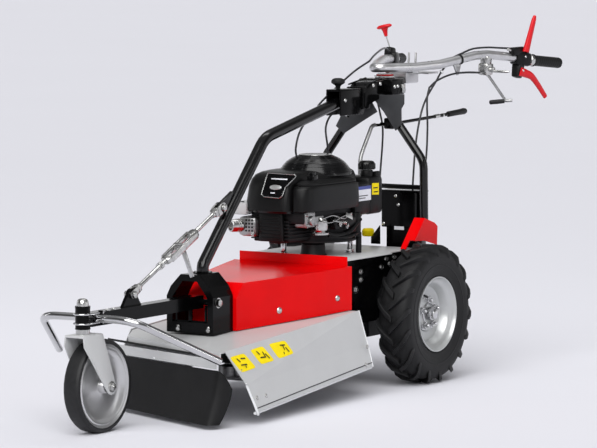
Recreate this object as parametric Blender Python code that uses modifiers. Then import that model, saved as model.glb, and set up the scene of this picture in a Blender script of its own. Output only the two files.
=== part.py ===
"""Walk-behind brush mower with a swivelling front wheel, a belt-driven rotary blade and two driven wheels.

The working frame has its origin on the ground under the drive axle: +X is the machine's left, -Y its front
and +Z up. One empty carries that frame, and moves the whole machine so that it is centred on the origin.
Every moving group hangs from an empty that stands on its joint's axis. Lengths are metres.
"""

import math

import bmesh
import bpy
import numpy as np
from mathutils import Matrix, Vector

COLLECTION = "brush_mower"
GAP = 0.0003
SMOOTH_STEPS = 24
WHEEL_STEPS = 32
SHEET = 0.0025

# Running gear
WHEEL_R = 0.205
WHEEL_WIDTH = 0.105
WHEEL_X = 0.2285
RIM_SEAT_R = 0.108
CASTER_R = 0.126
CASTER_WIDTH = 0.047
CASTER_RIM_R = 0.113
CASTER_Y = -1.340
SWIVEL_Y = -1.407
CROWN_Z = 0.270
FORK_HALF = 0.032
FORK_SHEET = 0.004
STEM_R = 0.011
SLEEVE_R = 0.020
SLEEVE_LOW = 0.284
SLEEVE_TOP = 0.345

# Front beam and its adjuster
BEAM_PIVOT = Vector((0.0, -0.872, 0.308))
BEAM_HALF = 0.018
BEAM_REAR = -0.856
BUMPER_R = 0.009
BUMPER_Y = -1.3765          # the bar passes through the beam, behind its sleeve
BUMPER_Z = 0.3115
LOWER_PIN = Vector((0.0, -1.184, 0.356))
UPPER_PIN = Vector((0.0, -0.742, 0.560))
ADJUSTER_ROD_R = 0.0065
ADJUSTER_HALF = 0.019

# Deck: a plate that falls towards the front, two folded guards and a rubber flap
DECK_REAR = -0.364
DECK_REAR_Z = 0.2455
DECK_FALL = 0.056
DECK_SHEET = 0.003
STRIP_LEFT = Vector((0.238, -1.110, 0.0))
STRIP_RIGHT = Vector((-0.235, -0.950, 0.0))
STRIP_LOW = 0.161
FLAP_BOTTOM = 0.013
FLAP_SHEET = 0.005
FLAP_CLEARANCE = 0.004      # below the strip, so that the sheet can swing
BLADE_Y = -0.700
BLADE_Z = 0.078
BLADE_R = 0.240
BRACKET_HALF = 0.077
BRACKET_FRONT = -0.898
BRACKET_REAR = -0.798
BRACKET_TOP = 0.385
# Half width, Y and top of the belt cover at its front corner, its fold and its rear edge
COVER_FRONT = (0.088, -0.7965, 0.356)
COVER_FOLD = (0.175, -0.480, 0.367)
COVER_REAR = (0.200, -0.3645, 0.373)
COVER_SHOULDER = 0.314

# Frame and engine
PLATFORM_HALF = 0.183
PLATFORM_FRONT = -0.360
PLATFORM_REAR = 0.055
PLATFORM_TOP = 0.390
SIDE_X = 0.150
LEG_X = 0.175
LEG_Y = 0.090
LEG_R = 0.0125
ARCH_R = 0.017
CRANK_Y = -0.240
RECOIL_BASE_R = 0.1075
RECOIL_TOP_R = 0.0485
ENGINE_BASE = 0.430
SHROUD_LOW = 0.512
SHROUD_TOP = 0.622
RECOIL_TOP = 0.680
CAP_Z = 0.626
CRANK_PULLEY_R = 0.040
BLADE_PULLEY_R = 0.048
BELT_Z = 0.262
BELT_THICK = 0.005
BELT_HALF = 0.005

# Handlebar
TURRET_Y = 0.154
CONSOLE_TOP = 0.885
CONSOLE_LOW = 0.835
INDEX_Y = -0.114
BAR_R = 0.0135
GRIP_R = 0.0165
CABLE_R = 0.0028

# The ends of the whole machine: the front wheel and the grips
MACHINE_FRONT = CASTER_Y - CASTER_R
MACHINE_REAR = 0.7396
CENTRE_Y = (MACHINE_FRONT + MACHINE_REAR) / 2

RED = (0.70, 0.012, 0.018)
BLACK = (0.012, 0.012, 0.013)
DARK = (0.045, 0.046, 0.050)
GREY = (0.60, 0.60, 0.58)
STEEL = (0.62, 0.62, 0.62)
RUBBER = (0.018, 0.018, 0.019)


# ---------------------------------------------------------------- scene and materials

def clear_scene():
    for obj in list(bpy.data.objects):
        bpy.data.objects.remove(obj, do_unlink=True)


def collection(name):
    made = bpy.data.collections.new(name)
    bpy.context.scene.collection.children.link(made)
    return made


def material(name, colour, roughness, metallic):
    made = bpy.data.materials.new(name)
    made.use_nodes = True
    shader = made.node_tree.nodes["Principled BSDF"]
    shader.inputs["Base Color"].default_value = (*colour, 1.0)
    shader.inputs["Roughness"].default_value = roughness
    shader.inputs["Metallic"].default_value = metallic
    return made


def gloss(name, colour):
    return material(name, colour, 0.25, 0.0)


def matte(name, colour):
    return material(name, colour, 0.6, 0.0)


def metal(name, colour=STEEL):
    return material(name, colour, 0.3, 1.0)


clear_scene()
PARTS = collection(COLLECTION)
TOOLS = collection("tools")
PIVOTS = {}


def pivot(name, place, parent=None):
    """An empty on a joint's axis; places are in the working frame."""
    empty = bpy.data.objects.new(name, None)
    empty.empty_display_size = 0.05
    PARTS.objects.link(empty)
    PIVOTS[name] = Vector(place)
    if parent is None:
        empty.location = (0.0, -CENTRE_Y, 0.0)
    else:
        empty.parent = bpy.data.objects[parent]
        empty.location = PIVOTS[name] - PIVOTS[parent]
    return name


def hang(obj, parent):
    """Hang a piece, and every tool that shapes it, from a pivot."""
    obj.parent = bpy.data.objects[parent]
    obj.location = obj.location - PIVOTS[parent]
    for mod in obj.modifiers:
        if mod.type == "BOOLEAN":
            hang(mod.object, parent)


def keep(obj, name, mat, parent):
    """Name a finished piece, give it its material and hang it from its pivot."""
    obj.name = name
    obj.data.name = name
    obj.data.materials.clear()
    obj.data.materials.append(mat)
    hang(obj, parent)
    return obj


# ---------------------------------------------------------------- basic solids

def mesh_object(name, data):
    obj = bpy.data.objects.new(name, data)
    PARTS.objects.link(obj)
    return obj


def from_bmesh(bm, name="solid"):
    data = bpy.data.meshes.new(name)
    bmesh.ops.recalc_face_normals(bm, faces=bm.faces[:])
    bm.to_mesh(data)
    bm.free()
    return mesh_object(name, data)


def aim(direction, start):
    """The matrix that stands local +Z along a direction from a start point."""
    turn = Vector(direction).to_track_quat("Z", "Y").to_matrix().to_4x4()
    return Matrix.Translation(start) @ turn


def box(low, high, bevel=0.0):
    low, high = Vector(low), Vector(high)
    bm = bmesh.new()
    bmesh.ops.create_cube(bm, size=1.0)
    for vert in bm.verts:
        vert.co = (low + high) / 2 + Vector(a * b for a, b in zip(vert.co, high - low))
    obj = from_bmesh(bm)
    if bevel:
        round_edges(obj, bevel)
    return obj


def round_edges(obj, width, segments=2):
    mod = obj.modifiers.new("round", "BEVEL")
    mod.width = width
    mod.segments = segments
    mod.limit_method = "ANGLE"
    mod.angle_limit = math.radians(40)
    return obj


def rod(start, end, radius, end_radius=None, steps=16):
    """A straight round bar, tapered when the end radius differs."""
    start, end = Vector(start), Vector(end)
    bm = bmesh.new()
    bmesh.ops.create_cone(bm, cap_ends=True, segments=steps, radius1=radius,
                          radius2=radius if end_radius is None else end_radius,
                          depth=(end - start).length)
    bmesh.ops.transform(bm, matrix=aim(end - start, (start + end) / 2), verts=bm.verts[:])
    return from_bmesh(bm)


def lathe(profile, centre, direction=(0, 0, 1), steps=SMOOTH_STEPS, closed=False):
    """Turn a profile of (radius, height) points, listed from top to bottom on the outside."""
    data = bpy.data.meshes.new("turned")
    edges = [(i, i + 1) for i in range(len(profile) - 1)]
    if closed:
        edges.append((len(profile) - 1, 0))
    data.from_pydata([(r, 0.0, z) for r, z in profile], edges, [])
    obj = mesh_object("turned", data)
    mod = obj.modifiers.new("turn", "SCREW")
    mod.axis = "Z"
    mod.steps = steps
    mod.render_steps = steps
    mod.use_merge_vertices = True
    mod.merge_threshold = 0.00001
    obj.matrix_world = aim(direction, centre)
    return obj


def bent_path(corners, radius, steps=5):
    """A polyline whose inner corners are replaced by arcs."""
    corners = [Vector(c) for c in corners]
    path = [corners[0]]
    for before, corner, after in zip(corners, corners[1:], corners[2:]):
        into, out = (corner - before).normalized(), (after - corner).normalized()
        half = into.angle(out) / 2
        if half < 0.01:
            path.append(corner)
            continue
        reach = min(radius * math.tan(half), (corner - before).length * 0.48,
                    (after - corner).length * 0.48)
        first, last = corner - into * reach, corner + out * reach
        for i in range(steps + 1):
            t = i / steps
            path.append(first * (1 - t) ** 2 + corner * 2 * t * (1 - t) + last * t ** 2)
    path.append(corners[-1])
    return path


def tube(corners, radius, bend=0.05, resolution=2, steps=5):
    """A bent round bar as a closed mesh."""
    curve = bpy.data.curves.new("tube", "CURVE")
    curve.dimensions = "3D"
    curve.bevel_depth = radius
    curve.bevel_resolution = resolution
    curve.use_fill_caps = True
    path = bent_path(corners, bend, steps)
    spline = curve.splines.new("POLY")
    spline.points.add(len(path) - 1)
    for point, place in zip(spline.points, path):
        point.co = (*place, 1.0)
    return weld_curve(curve)


def weld_curve(curve):
    holder = mesh_object("curve", curve)
    bpy.context.view_layer.update()
    data = bpy.data.meshes.new_from_object(holder.evaluated_get(bpy.context.evaluated_depsgraph_get()))
    bpy.data.objects.remove(holder, do_unlink=True)
    bm = bmesh.new()
    bm.from_mesh(data)
    bmesh.ops.remove_doubles(bm, verts=bm.verts[:], dist=0.00001)
    return from_bmesh(bm)


def prism(outline, low, high, along="Z"):
    """Extrude a flat outline. Along X it holds (y, z) points, along Y (x, z), along Z (x, y)."""
    curve = bpy.data.curves.new("outline", "CURVE")
    curve.dimensions = "2D"
    curve.fill_mode = "BOTH"
    curve.extrude = (high - low) / 2
    spline = curve.splines.new("POLY")
    spline.points.add(len(outline) - 1)
    spline.use_cyclic_u = True
    for point, (u, v) in zip(spline.points, outline):
        point.co = (u, v, 0.0, 1.0)
    obj = weld_curve(curve)
    turn = {"X": Matrix(((0, 0, 1, 0), (1, 0, 0, 0), (0, 1, 0, 0), (0, 0, 0, 1))),
            "Y": Matrix(((1, 0, 0, 0), (0, 0, -1, 0), (0, 1, 0, 0), (0, 0, 0, 1))),
            "Z": Matrix.Identity(4)}[along]
    middle = (low + high) / 2
    obj.data.transform(Matrix.Translation((0, 0, middle if along != "Y" else -middle)))
    obj.data.transform(turn)
    bm = bmesh.new()
    bm.from_mesh(obj.data)
    bmesh.ops.recalc_face_normals(bm, faces=bm.faces[:])
    bm.to_mesh(obj.data)
    bm.free()
    return obj


def flat_bar(start, end, wide, thick, end_wide=None, across=(0, 1, 0)):
    """A tapered flat bar between two points; across is the direction of its width."""
    start, end = Vector(start), Vector(end)
    axis = (end - start).normalized()
    side = Vector(across)
    side = (side - axis * side.dot(axis)).normalized()
    frame = Matrix((side, axis.cross(side), axis)).transposed().to_4x4()
    bm = bmesh.new()
    bmesh.ops.create_cube(bm, size=1.0)
    for vert in bm.verts:
        width = wide if vert.co.z < 0 or end_wide is None else end_wide
        vert.co = Vector((vert.co.x * width, vert.co.y * thick, (vert.co.z + 0.5) * (end - start).length))
    bmesh.ops.transform(bm, matrix=Matrix.Translation(start) @ frame, verts=bm.verts[:])
    return from_bmesh(bm)


def sheet(points, faces, thickness, offset=1.0):
    """A folded sheet: an open surface with thickness."""
    data = bpy.data.meshes.new("sheet")
    data.from_pydata([tuple(p) for p in points], [], faces)
    obj = mesh_object("sheet", data)
    mod = obj.modifiers.new("gauge", "SOLIDIFY")
    mod.thickness = thickness
    mod.offset = offset
    mod.use_even_offset = True
    return obj


def combine(obj, others, operation):
    for other in others:
        mod = obj.modifiers.new(operation.lower(), "BOOLEAN")
        mod.operation = operation
        mod.solver = "EXACT"
        mod.object = other
        PARTS.objects.unlink(other)
        TOOLS.objects.link(other)
        other.hide_render = True
        other.display_type = "WIRE"
    return obj


def join(obj, *others):
    return combine(obj, others, "UNION")


def cut(obj, *others):
    return combine(obj, others, "DIFFERENCE")


def arc(centre, radius, start, end, steps=8):
    angles = np.radians(np.linspace(start, end, steps + 1))
    return [(centre[0] + radius * math.cos(a), centre[1] + radius * math.sin(a)) for a in angles]


def mirrored(point):
    return Vector((-point[0], point[1], point[2]))


def deck_z(y):
    return DECK_REAR_Z + (y - DECK_REAR) * DECK_FALL


# ---------------------------------------------------------------- drive wheels

def drive_wheel(side, name):
    hub = pivot(f"{name}_axis", (side * WHEEL_X, 0, WHEEL_R), "machine")
    centre, outward = PIVOTS[hub], (side, 0, 0)
    half, bead, seat = WHEEL_WIDTH / 2, 0.040, RIM_SEAT_R + GAP
    tyre = lathe([(0.192, half - 0.004), (0.203, half - 0.020), (WHEEL_R, 0.0), (0.203, 0.020 - half),
                  (0.192, 0.004 - half), (0.165, -half), (0.128, 0.003 - half), (seat, -bead), (seat, bead),
                  (0.128, half - 0.003), (0.165, half)], centre, outward, WHEEL_STEPS, closed=True)
    keep(tyre, f"{name}_tyre", matte(f"{name}_tyre", RUBBER), hub)
    rim = lathe([(0.0, 0.034), (0.020, 0.034), (0.024, 0.021), (0.050, 0.020), (0.054, 0.005),
                 (0.078, 0.006),
                 (0.092, 0.036), (RIM_SEAT_R, 0.044), (RIM_SEAT_R, 0.036), (0.098, 0.030), (0.098, -0.030),
                 (RIM_SEAT_R, -0.036), (RIM_SEAT_R, -0.044), (0.090, -0.036), (0.076, -0.003),
                 (0.040, -0.006),
                 (0.036, -0.048), (0.015, -0.050), (0.015, -0.0630), (0.0, -0.0630)],
                centre, outward, WHEEL_STEPS)
    keep(rim, f"{name}_rim", metal(f"{name}_rim"), hub)


# ---------------------------------------------------------------- swivelling front wheel

def caster_fork():
    swivel = pivot("caster_swivel", (0, SWIVEL_Y, CROWN_Z), "beam_axis")
    inner, outer = FORK_HALF, FORK_HALF + FORK_SHEET
    crown = box((-outer, SWIVEL_Y - 0.030, CROWN_Z - 0.008), (outer, SWIVEL_Y + 0.024, CROWN_Z))
    side = arc((CASTER_Y, CASTER_R), 0.020, -150, 30, 8)
    outline = [(SWIVEL_Y + 0.024, CROWN_Z), (SWIVEL_Y - 0.030, CROWN_Z),
               (SWIVEL_Y - 0.030, CROWN_Z - 0.030)]
    arms = [prism(outline + side, low, low + FORK_SHEET, "X") for low in (inner, -outer)]
    stem = lathe([(0.0, SLEEVE_TOP + 0.020), (0.012, SLEEVE_TOP + 0.018), (0.016, SLEEVE_TOP + 0.010),
                  (0.016, SLEEVE_TOP + GAP), (STEM_R, SLEEVE_TOP + GAP), (STEM_R, SLEEVE_LOW - GAP),
                  (0.018, SLEEVE_LOW - GAP), (0.018, CROWN_Z - 0.002), (0.0, CROWN_Z - 0.002)],
                 (0, SWIVEL_Y, 0), steps=24)
    axle = rod((outer + 0.008, CASTER_Y, CASTER_R), (-outer - 0.008, CASTER_Y, CASTER_R), 0.006)
    heads = [rod((s * (outer - 0.001), CASTER_Y, CASTER_R), (s * (outer + 0.007), CASTER_Y, CASTER_R),
                 0.010,
                 steps=6) for s in (1, -1)]
    fork = join(crown, *arms, stem, axle, *heads)
    keep(fork, "caster_fork", gloss("caster_fork", GREY), swivel)


def caster_wheel():
    hub = pivot("caster_wheel_axis", (0, CASTER_Y, CASTER_R), "caster_swivel")
    half, rim = CASTER_WIDTH / 2, CASTER_RIM_R
    tyre = lathe([(CASTER_R - 0.005, half), (CASTER_R, half - 0.006), (CASTER_R, 0.006 - half),
                  (CASTER_R - 0.005, -half), (rim + GAP, -half), (rim + GAP, half)],
                 PIVOTS[hub], (1, 0, 0), WHEEL_STEPS, closed=True)
    keep(tyre, "caster_tyre", matte("caster_tyre", RUBBER), hub)
    bore, hub_half = 0.0064, 0.030
    web = [(bore, hub_half), (0.015, hub_half), (0.018, 0.012), (0.080, 0.004), (0.098, half - 0.002),
           (rim, half - 0.001)]
    back = [(r, -z) for r, z in reversed(web)]
    disc = lathe(web + back, PIVOTS[hub], (1, 0, 0), WHEEL_STEPS, closed=True)
    keep(disc, "caster_rim", metal("caster_rim"), hub)


# ---------------------------------------------------------------- front beam, bumper and adjuster

def front_beam():
    hinge = pivot("beam_axis", BEAM_PIVOT, "machine")
    low, high = BEAM_PIVOT.z - BEAM_HALF - 0.001, BEAM_PIVOT.z + BEAM_HALF - 0.001
    beam = box((-BEAM_HALF, SWIVEL_Y + 0.008, low), (BEAM_HALF, BEAM_REAR, high))
    ear = prism([(LOWER_PIN.y + 0.045, high - 0.002), (LOWER_PIN.y - 0.045, high - 0.002)]
                + arc((LOWER_PIN.y, LOWER_PIN.z), 0.016, 160, 20, 6), -0.005, 0.005, "X")
    sleeve = rod((0, SWIVEL_Y, SLEEVE_LOW), (0, SWIVEL_Y, SLEEVE_TOP), SLEEVE_R, steps=32)
    bore = rod((0, SWIVEL_Y, SLEEVE_LOW - 0.02), (0, SWIVEL_Y, SLEEVE_TOP + 0.02), STEM_R + 0.0005,
               steps=24)
    eye = rod((-0.03, BEAM_PIVOT.y, BEAM_PIVOT.z), (0.03, BEAM_PIVOT.y, BEAM_PIVOT.z), 0.0085)
    pin = rod((-0.03, LOWER_PIN.y, LOWER_PIN.z), (0.03, LOWER_PIN.y, LOWER_PIN.z), 0.0078)
    passage = rod((-0.03, BUMPER_Y, BUMPER_Z), (0.03, BUMPER_Y, BUMPER_Z), BUMPER_R + 0.0005, steps=24)
    solid = cut(join(beam, ear, sleeve), bore, eye, pin, passage)
    keep(solid, "front_beam", gloss("front_beam", BLACK), hinge)


def bumper_bar():
    reach = [Vector((0.264, -1.148, 0.187)), Vector((0.150, -1.388, 0.312)),
             Vector((0.040, BUMPER_Y, BUMPER_Z))]
    path = reach + [mirrored(p) for p in reversed(reach)]
    keep(tube(path, BUMPER_R, 0.06, 2, 6), "bumper_bar", metal("bumper_bar"), "beam_axis")


def along_adjuster(share):
    return UPPER_PIN.lerp(LOWER_PIN, share)


def clevis(place, direction, length=0.040):
    """Two ears around a pin along X, joined by a bridge that faces along the rod."""
    direction = Vector(direction).normalized()
    ears = []
    for s in (1, -1):
        start = Vector(place) - direction * 0.011 + Vector((s * 0.0085, 0, 0))
        ears.append(flat_bar(start, start + direction * length, 0.022, 0.005,
                             across=(0, direction.z, -direction.y)))
    middle = Vector(place) + direction * (length - 0.016)
    bridge = flat_bar(middle, middle + direction * 0.010, 0.020, 0.021,
                      across=(0, direction.z, -direction.y))
    pin = rod(Vector(place) - Vector((0.014, 0, 0)), Vector(place) + Vector((0.014, 0, 0)), 0.0060)
    return ears + [bridge, pin]


def adjuster_upper():
    hinge = pivot("adjuster_axis", UPPER_PIN, "machine")
    down = LOWER_PIN - UPPER_PIN
    shaft = rod(UPPER_PIN + down * 0.062, along_adjuster(0.345), ADJUSTER_ROD_R)
    keep(join(shaft, *clevis(UPPER_PIN, down)), "adjuster_upper_rod", metal("adjuster_upper_rod"), hinge)


def adjuster_sleeve():
    turn = pivot("adjuster_sleeve_axis", along_adjuster(0.45), "adjuster_axis")
    start, end = along_adjuster(0.29), along_adjuster(0.63)
    across = (1, 0, 0)
    body = flat_bar(start, end, 2 * ADJUSTER_HALF, 0.020, across=across)
    slot = flat_bar(along_adjuster(0.325), along_adjuster(0.595), 0.022, 0.060, across=across)
    bore = rod(along_adjuster(0.2), along_adjuster(0.7), ADJUSTER_ROD_R + 0.0005)
    waist = flat_bar(along_adjuster(0.447), along_adjuster(0.470), 0.0375, 0.0205, across=across)
    hole = rod(along_adjuster(0.2), along_adjuster(0.7), ADJUSTER_ROD_R + 0.0005)
    middle = along_adjuster(0.458)
    handle = flat_bar(middle + Vector((0.004, 0.0035, -0.0075)), middle + Vector((0.040, 0.000, -0.083)),
                      0.016, 0.005, across=(1, 0, 0))
    sleeve = join(cut(body, slot, bore), cut(waist, hole), handle)
    keep(sleeve, "adjuster_sleeve", metal("adjuster_sleeve"), turn)


def adjuster_lower():
    slide = pivot("adjuster_slide_axis", LOWER_PIN, "adjuster_axis")
    up = UPPER_PIN - LOWER_PIN
    shaft = rod(LOWER_PIN + up * 0.05, along_adjuster(0.56), ADJUSTER_ROD_R)
    nut = rod(along_adjuster(0.662), along_adjuster(0.688), 0.011, steps=6)
    keep(join(shaft, nut, *clevis(LOWER_PIN, up)), "adjuster_lower_rod", metal("adjuster_lower_rod"), slide)


# ---------------------------------------------------------------- deck

def deck_plate():
    edge = [(0.221, DECK_REAR), (0.2365, -0.950), (0.240, -1.090), (0.236, -1.105), (-0.155, -0.973),
            (-0.206, -0.880), (-0.221, DECK_REAR)]
    fall = 0.018
    top = [Vector((x, y, deck_z(y))) for x, y in edge]
    rear_low = [Vector((0.232, DECK_REAR, 0.150)), Vector((-0.232, DECK_REAR, 0.150))]
    lip = [p - Vector((0, 0, fall)) for p in top[3:5]]
    points = top + rear_low + lip
    plate = sheet(points, [tuple(range(7)), (0, 6, 8, 7), (4, 3, 9, 10)], DECK_SHEET, 1.0)
    hole = rod((0, BLADE_Y, 0.15), (0, BLADE_Y, 0.30), 0.0165, steps=24)
    keep(cut(plate, hole), "deck_plate", gloss("deck_plate", GREY), "machine")


def guard(points, name):
    faces = [(0, 1, 3, 2), (2, 3, 5, 4), (4, 5, 7, 6)]
    keep(sheet(points, faces, SHEET, 0.0), name, gloss(name, GREY), "machine")


def guard_left():
    guard([(0.2235, -0.366, 0.2475), (0.2440, -1.094, 0.2065), (0.2430, -0.348, 0.1450),
           (0.2750, -1.035, 0.1110),
           (0.2560, -0.342, 0.0880), (0.2930, -1.008, 0.0370), (0.2440, -0.342, 0.0830),
           (0.2810, -1.008, 0.0330)],
          "guard_left")


def guard_right():
    guard([(-0.2100, -0.880, 0.2190), (-0.2235, -0.366, 0.2475), (-0.2450, -0.900, 0.1250),
           (-0.2430, -0.348, 0.1450), (-0.2930, -0.905, 0.0420), (-0.2560, -0.342, 0.0880),
           (-0.2810, -0.905, 0.0380), (-0.2440, -0.342, 0.0830)], "guard_right")


def strip_frame():
    along = (STRIP_RIGHT - STRIP_LEFT).normalized()
    return along, Vector((along.y, -along.x, 0.0)) * (-1 if along.x > 0 else 1)


def flap_strip():
    along, ahead = strip_frame()
    ahead = -ahead if ahead.y > 0 else ahead
    middle = Vector((0, 0, STRIP_LOW + 0.013)) + ahead * (DECK_SHEET + FLAP_SHEET + 0.0030)
    strip = flat_bar(STRIP_LEFT + middle, STRIP_RIGHT + middle, 0.026, 0.003, across=(0, 0, 1))
    keep(strip, "flap_strip", metal("flap_strip"), "machine")


def front_flap():
    along, ahead = strip_frame()
    ahead = -ahead if ahead.y > 0 else ahead
    hang = pivot("flap_axis", (STRIP_LEFT + STRIP_RIGHT) / 2 + Vector((0, 0, STRIP_LOW)), "machine")
    set_off = ahead * (DECK_SHEET + GAP)
    plan = [STRIP_RIGHT, STRIP_RIGHT.lerp(STRIP_LEFT, 0.33), STRIP_RIGHT.lerp(STRIP_LEFT, 0.67), STRIP_LEFT]
    plan = [p + set_off for p in plan] + [Vector((0.262, -1.100, 0)), Vector((0.276, -1.086, 0))]
    tops = [STRIP_LOW - FLAP_CLEARANCE] * 4 + [STRIP_LOW - 0.026, STRIP_LOW - 0.055]
    bulge = [0.006, 0.018, 0.032, 0.044, 0.044, 0.038]
    points, faces = [], []
    for place, top, out in zip(plan, tops, bulge):
        points += [place + Vector((0, 0, top)), place + ahead * out * 0.4 + Vector((0, 0, top * 0.55)),
                   place + ahead * out + Vector((0, 0, FLAP_BOTTOM))]
    for i in range(len(plan) - 1):
        for j in range(2):
            a = 3 * i + j
            faces.append((a, a + 1, a + 4, a + 3))
    keep(sheet(points, faces, FLAP_SHEET, 1.0), "front_flap", matte("front_flap", RUBBER), hang)


def front_bracket():
    bottom = deck_z(BRACKET_REAR) + 0.001
    wall = 0.006

    def portal(inset):
        half, top = BRACKET_HALF - inset, BRACKET_TOP - inset
        return [(-half, bottom + inset), (half, bottom + inset), (half, top - 0.062),
                (half - 0.014, top - 0.034),
                (0.030, top), (-0.030, top), (0.014 - half, top - 0.034), (-half, top - 0.062)]

    shell = prism(portal(0.0), BRACKET_FRONT, BRACKET_REAR, "Y")
    tunnel = prism(portal(wall), BRACKET_FRONT + wall, BRACKET_REAR + 0.02, "Y")
    mouth = [(-0.058, 0.252), (0.058, 0.252), (0.058, 0.322), (0.024, 0.366), (-0.024, 0.366),
             (-0.058, 0.322)]
    window = prism(mouth, BRACKET_FRONT - 0.02, BRACKET_FRONT + 0.02, "Y")
    bolt = rod((-BRACKET_HALF - 0.008, BEAM_PIVOT.y, BEAM_PIVOT.z),
               (BRACKET_HALF + 0.008, BEAM_PIVOT.y, BEAM_PIVOT.z),
               0.0080)
    heads = [rod((s * (BRACKET_HALF - 0.001), BEAM_PIVOT.y, BEAM_PIVOT.z),
                 (s * (BRACKET_HALF + 0.007), BEAM_PIVOT.y, BEAM_PIVOT.z), 0.011, steps=6) for s in (1, -1)]
    keep(join(cut(shell, tunnel, window), bolt, *heads), "front_bracket", gloss("front_bracket", BLACK),
         "machine")


def belt_cover():
    """A folded sheet that widens towards the rear: front, slope, two tops and two walls in two panels each."""
    lift = 0.0012 + SHEET / 2
    front, fold, rear = COVER_FRONT, COVER_FOLD, COVER_REAR
    slope_y = front[1] + 0.025
    slope_half = front[0] + (fold[0] - front[0]) * 0.025 / (fold[1] - front[1])
    points = []
    for s in (1, -1):
        points += [(s * front[0], front[1], deck_z(front[1]) + lift),
                   (s * front[0], front[1], COVER_SHOULDER),
                   (s * slope_half, slope_y, front[2]), (s * fold[0], fold[1], fold[2]),
                   (s * rear[0], rear[1], rear[2]), (s * rear[0], rear[1], deck_z(rear[1]) + lift),
                   (s * fold[0], fold[1], deck_z(fold[1]) + lift)]
    walls = [(0, 6, 3, 2, 1), (6, 5, 4, 3), (7, 8, 9, 10, 13), (13, 10, 11, 12)]
    tops = [(0, 1, 8, 7), (1, 2, 9, 8), (2, 3, 10, 9), (3, 4, 11, 10)]
    keep(sheet(points, walls + tops, SHEET, -1.0), "belt_cover", gloss("belt_cover", RED), "machine")


# ---------------------------------------------------------------- blade drive

def spindle_housing():
    top = deck_z(BLADE_Y) - DECK_SHEET - 0.006
    body = lathe([(0.045, top), (0.045, top - 0.012), (0.026, top - 0.018), (0.024, 0.120), (0.0165, 0.120),
                  (0.0165, top)], (0, BLADE_Y, 0), closed=True)
    keep(body, "spindle_housing", metal("spindle_housing", DARK), "machine")


def blade_spindle():
    turn = pivot("blade_axis", (0, BLADE_Y, BLADE_Z), "machine")
    top, low = BELT_Z + 0.014, BELT_Z - 0.014
    spindle = lathe([(0.0, top + 0.010), (0.012, top + 0.010), (0.012, top), (BLADE_PULLEY_R, top),
                     (BLADE_PULLEY_R, low), (0.012, low), (0.012, 0.116), (0.030, 0.110),
                     (0.030, BLADE_Z + 0.004),
                     (0.0, BLADE_Z + 0.004)], (0, BLADE_Y, 0), steps=32)
    keep(spindle, "blade_spindle", metal("blade_spindle"), turn)


def cutter_blade():
    half = 0.027
    bar = box((-BLADE_R, BLADE_Y - half, BLADE_Z - 0.004), (BLADE_R, BLADE_Y + half, BLADE_Z + 0.004 - GAP))
    bevels = [flat_bar((s * BLADE_R * 1.1, BLADE_Y - s * half, BLADE_Z + 0.004),
                       (s * 0.12, BLADE_Y - s * half,
              BLADE_Z + 0.004), 0.008, 0.008, across=(0, 1, 1)) for s in (1, -1)]
    keep(cut(bar, *bevels), "cutter_blade", metal("cutter_blade"), "blade_axis")


def crank_pulley():
    turn = pivot("crank_axis", (0, CRANK_Y, BELT_Z), "machine")
    top, low = BELT_Z + 0.014, BELT_Z - 0.014
    pulley = lathe([(0.0, ENGINE_BASE - GAP), (0.0125, ENGINE_BASE - GAP), (0.0125, top + 0.004),
                    (0.020, top + 0.004),
                    (0.020, top), (CRANK_PULLEY_R, top), (CRANK_PULLEY_R, low), (0.0, low)],
                   (0, CRANK_Y, 0), steps=32)
    keep(pulley, "crank_pulley", metal("crank_pulley"), turn)


def drive_belt():
    """One loop around both pulleys: the outer racetrack less the inner one."""
    def loop(grow):
        crank, blade = CRANK_PULLEY_R + grow, BLADE_PULLEY_R + grow
        lean = math.degrees(math.asin((BLADE_PULLEY_R - CRANK_PULLEY_R) / (CRANK_Y - BLADE_Y)))
        return (arc((0, CRANK_Y), crank, -lean, 180 + lean, 14)
                + arc((0, BLADE_Y), blade, 180 + lean, 360 - lean, 14))
    belt = prism(loop(BELT_THICK), BELT_Z - BELT_HALF, BELT_Z + BELT_HALF)
    inside = prism(loop(0.0010), BELT_Z - 0.03, BELT_Z + 0.03)
    keep(cut(belt, inside), "drive_belt", matte("drive_belt", RUBBER), "machine")


# ---------------------------------------------------------------- frame

def chassis_frame():
    side_top = PLATFORM_TOP - 0.0065
    outline = [(-0.335, 0.262), (0.060, 0.262), (0.130, 0.300), (0.130, 0.372),
               (PLATFORM_REAR + 0.01, side_top),
               (-0.335, side_top)]
    sides = [prism(outline, s * SIDE_X - 0.003, s * SIDE_X + 0.003, "X") for s in (1, -1)]
    case = box((-SIDE_X - 0.006, -0.290, 0.195), (SIDE_X + 0.006, -0.085, 0.232))
    hangers = [box((s * SIDE_X - 0.003, -0.27, 0.22), (s * SIDE_X + 0.003, -0.12, 0.30)) for s in (1, -1)]
    ties = [rod((-SIDE_X, y, 0.375), (SIDE_X, y, 0.375), 0.008) for y in (-0.320, 0.100)]
    well = rod((0, CRANK_Y, 0.19), (0, CRANK_Y, 0.34), 0.052, steps=24)
    keep(cut(join(sides[0], sides[1], case, *hangers, *ties), well), "chassis_frame",
         gloss("chassis_frame", BLACK), "machine")


def engine_platform():
    half, waist = PLATFORM_HALF, PLATFORM_HALF - 0.017
    right = [(-waist, PLATFORM_REAR), (-waist, -0.095), (-half, -0.110), (-half, PLATFORM_FRONT)]
    plate = prism(right + [(-x, y) for x, y in reversed(right)], PLATFORM_TOP - 0.006, PLATFORM_TOP)
    posts = [rod((x, CRANK_Y + y, PLATFORM_TOP - 0.003), (x, CRANK_Y + y, ENGINE_BASE - GAP), 0.009)
             for x in (-0.085, 0.085) for y in (-0.100, 0.085)]
    hole = rod((0, CRANK_Y, 0.38), (0, CRANK_Y, 0.42), 0.030, steps=24)
    keep(cut(join(plate, *posts), hole), "engine_platform", gloss("engine_platform", GREY), "machine")


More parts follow.
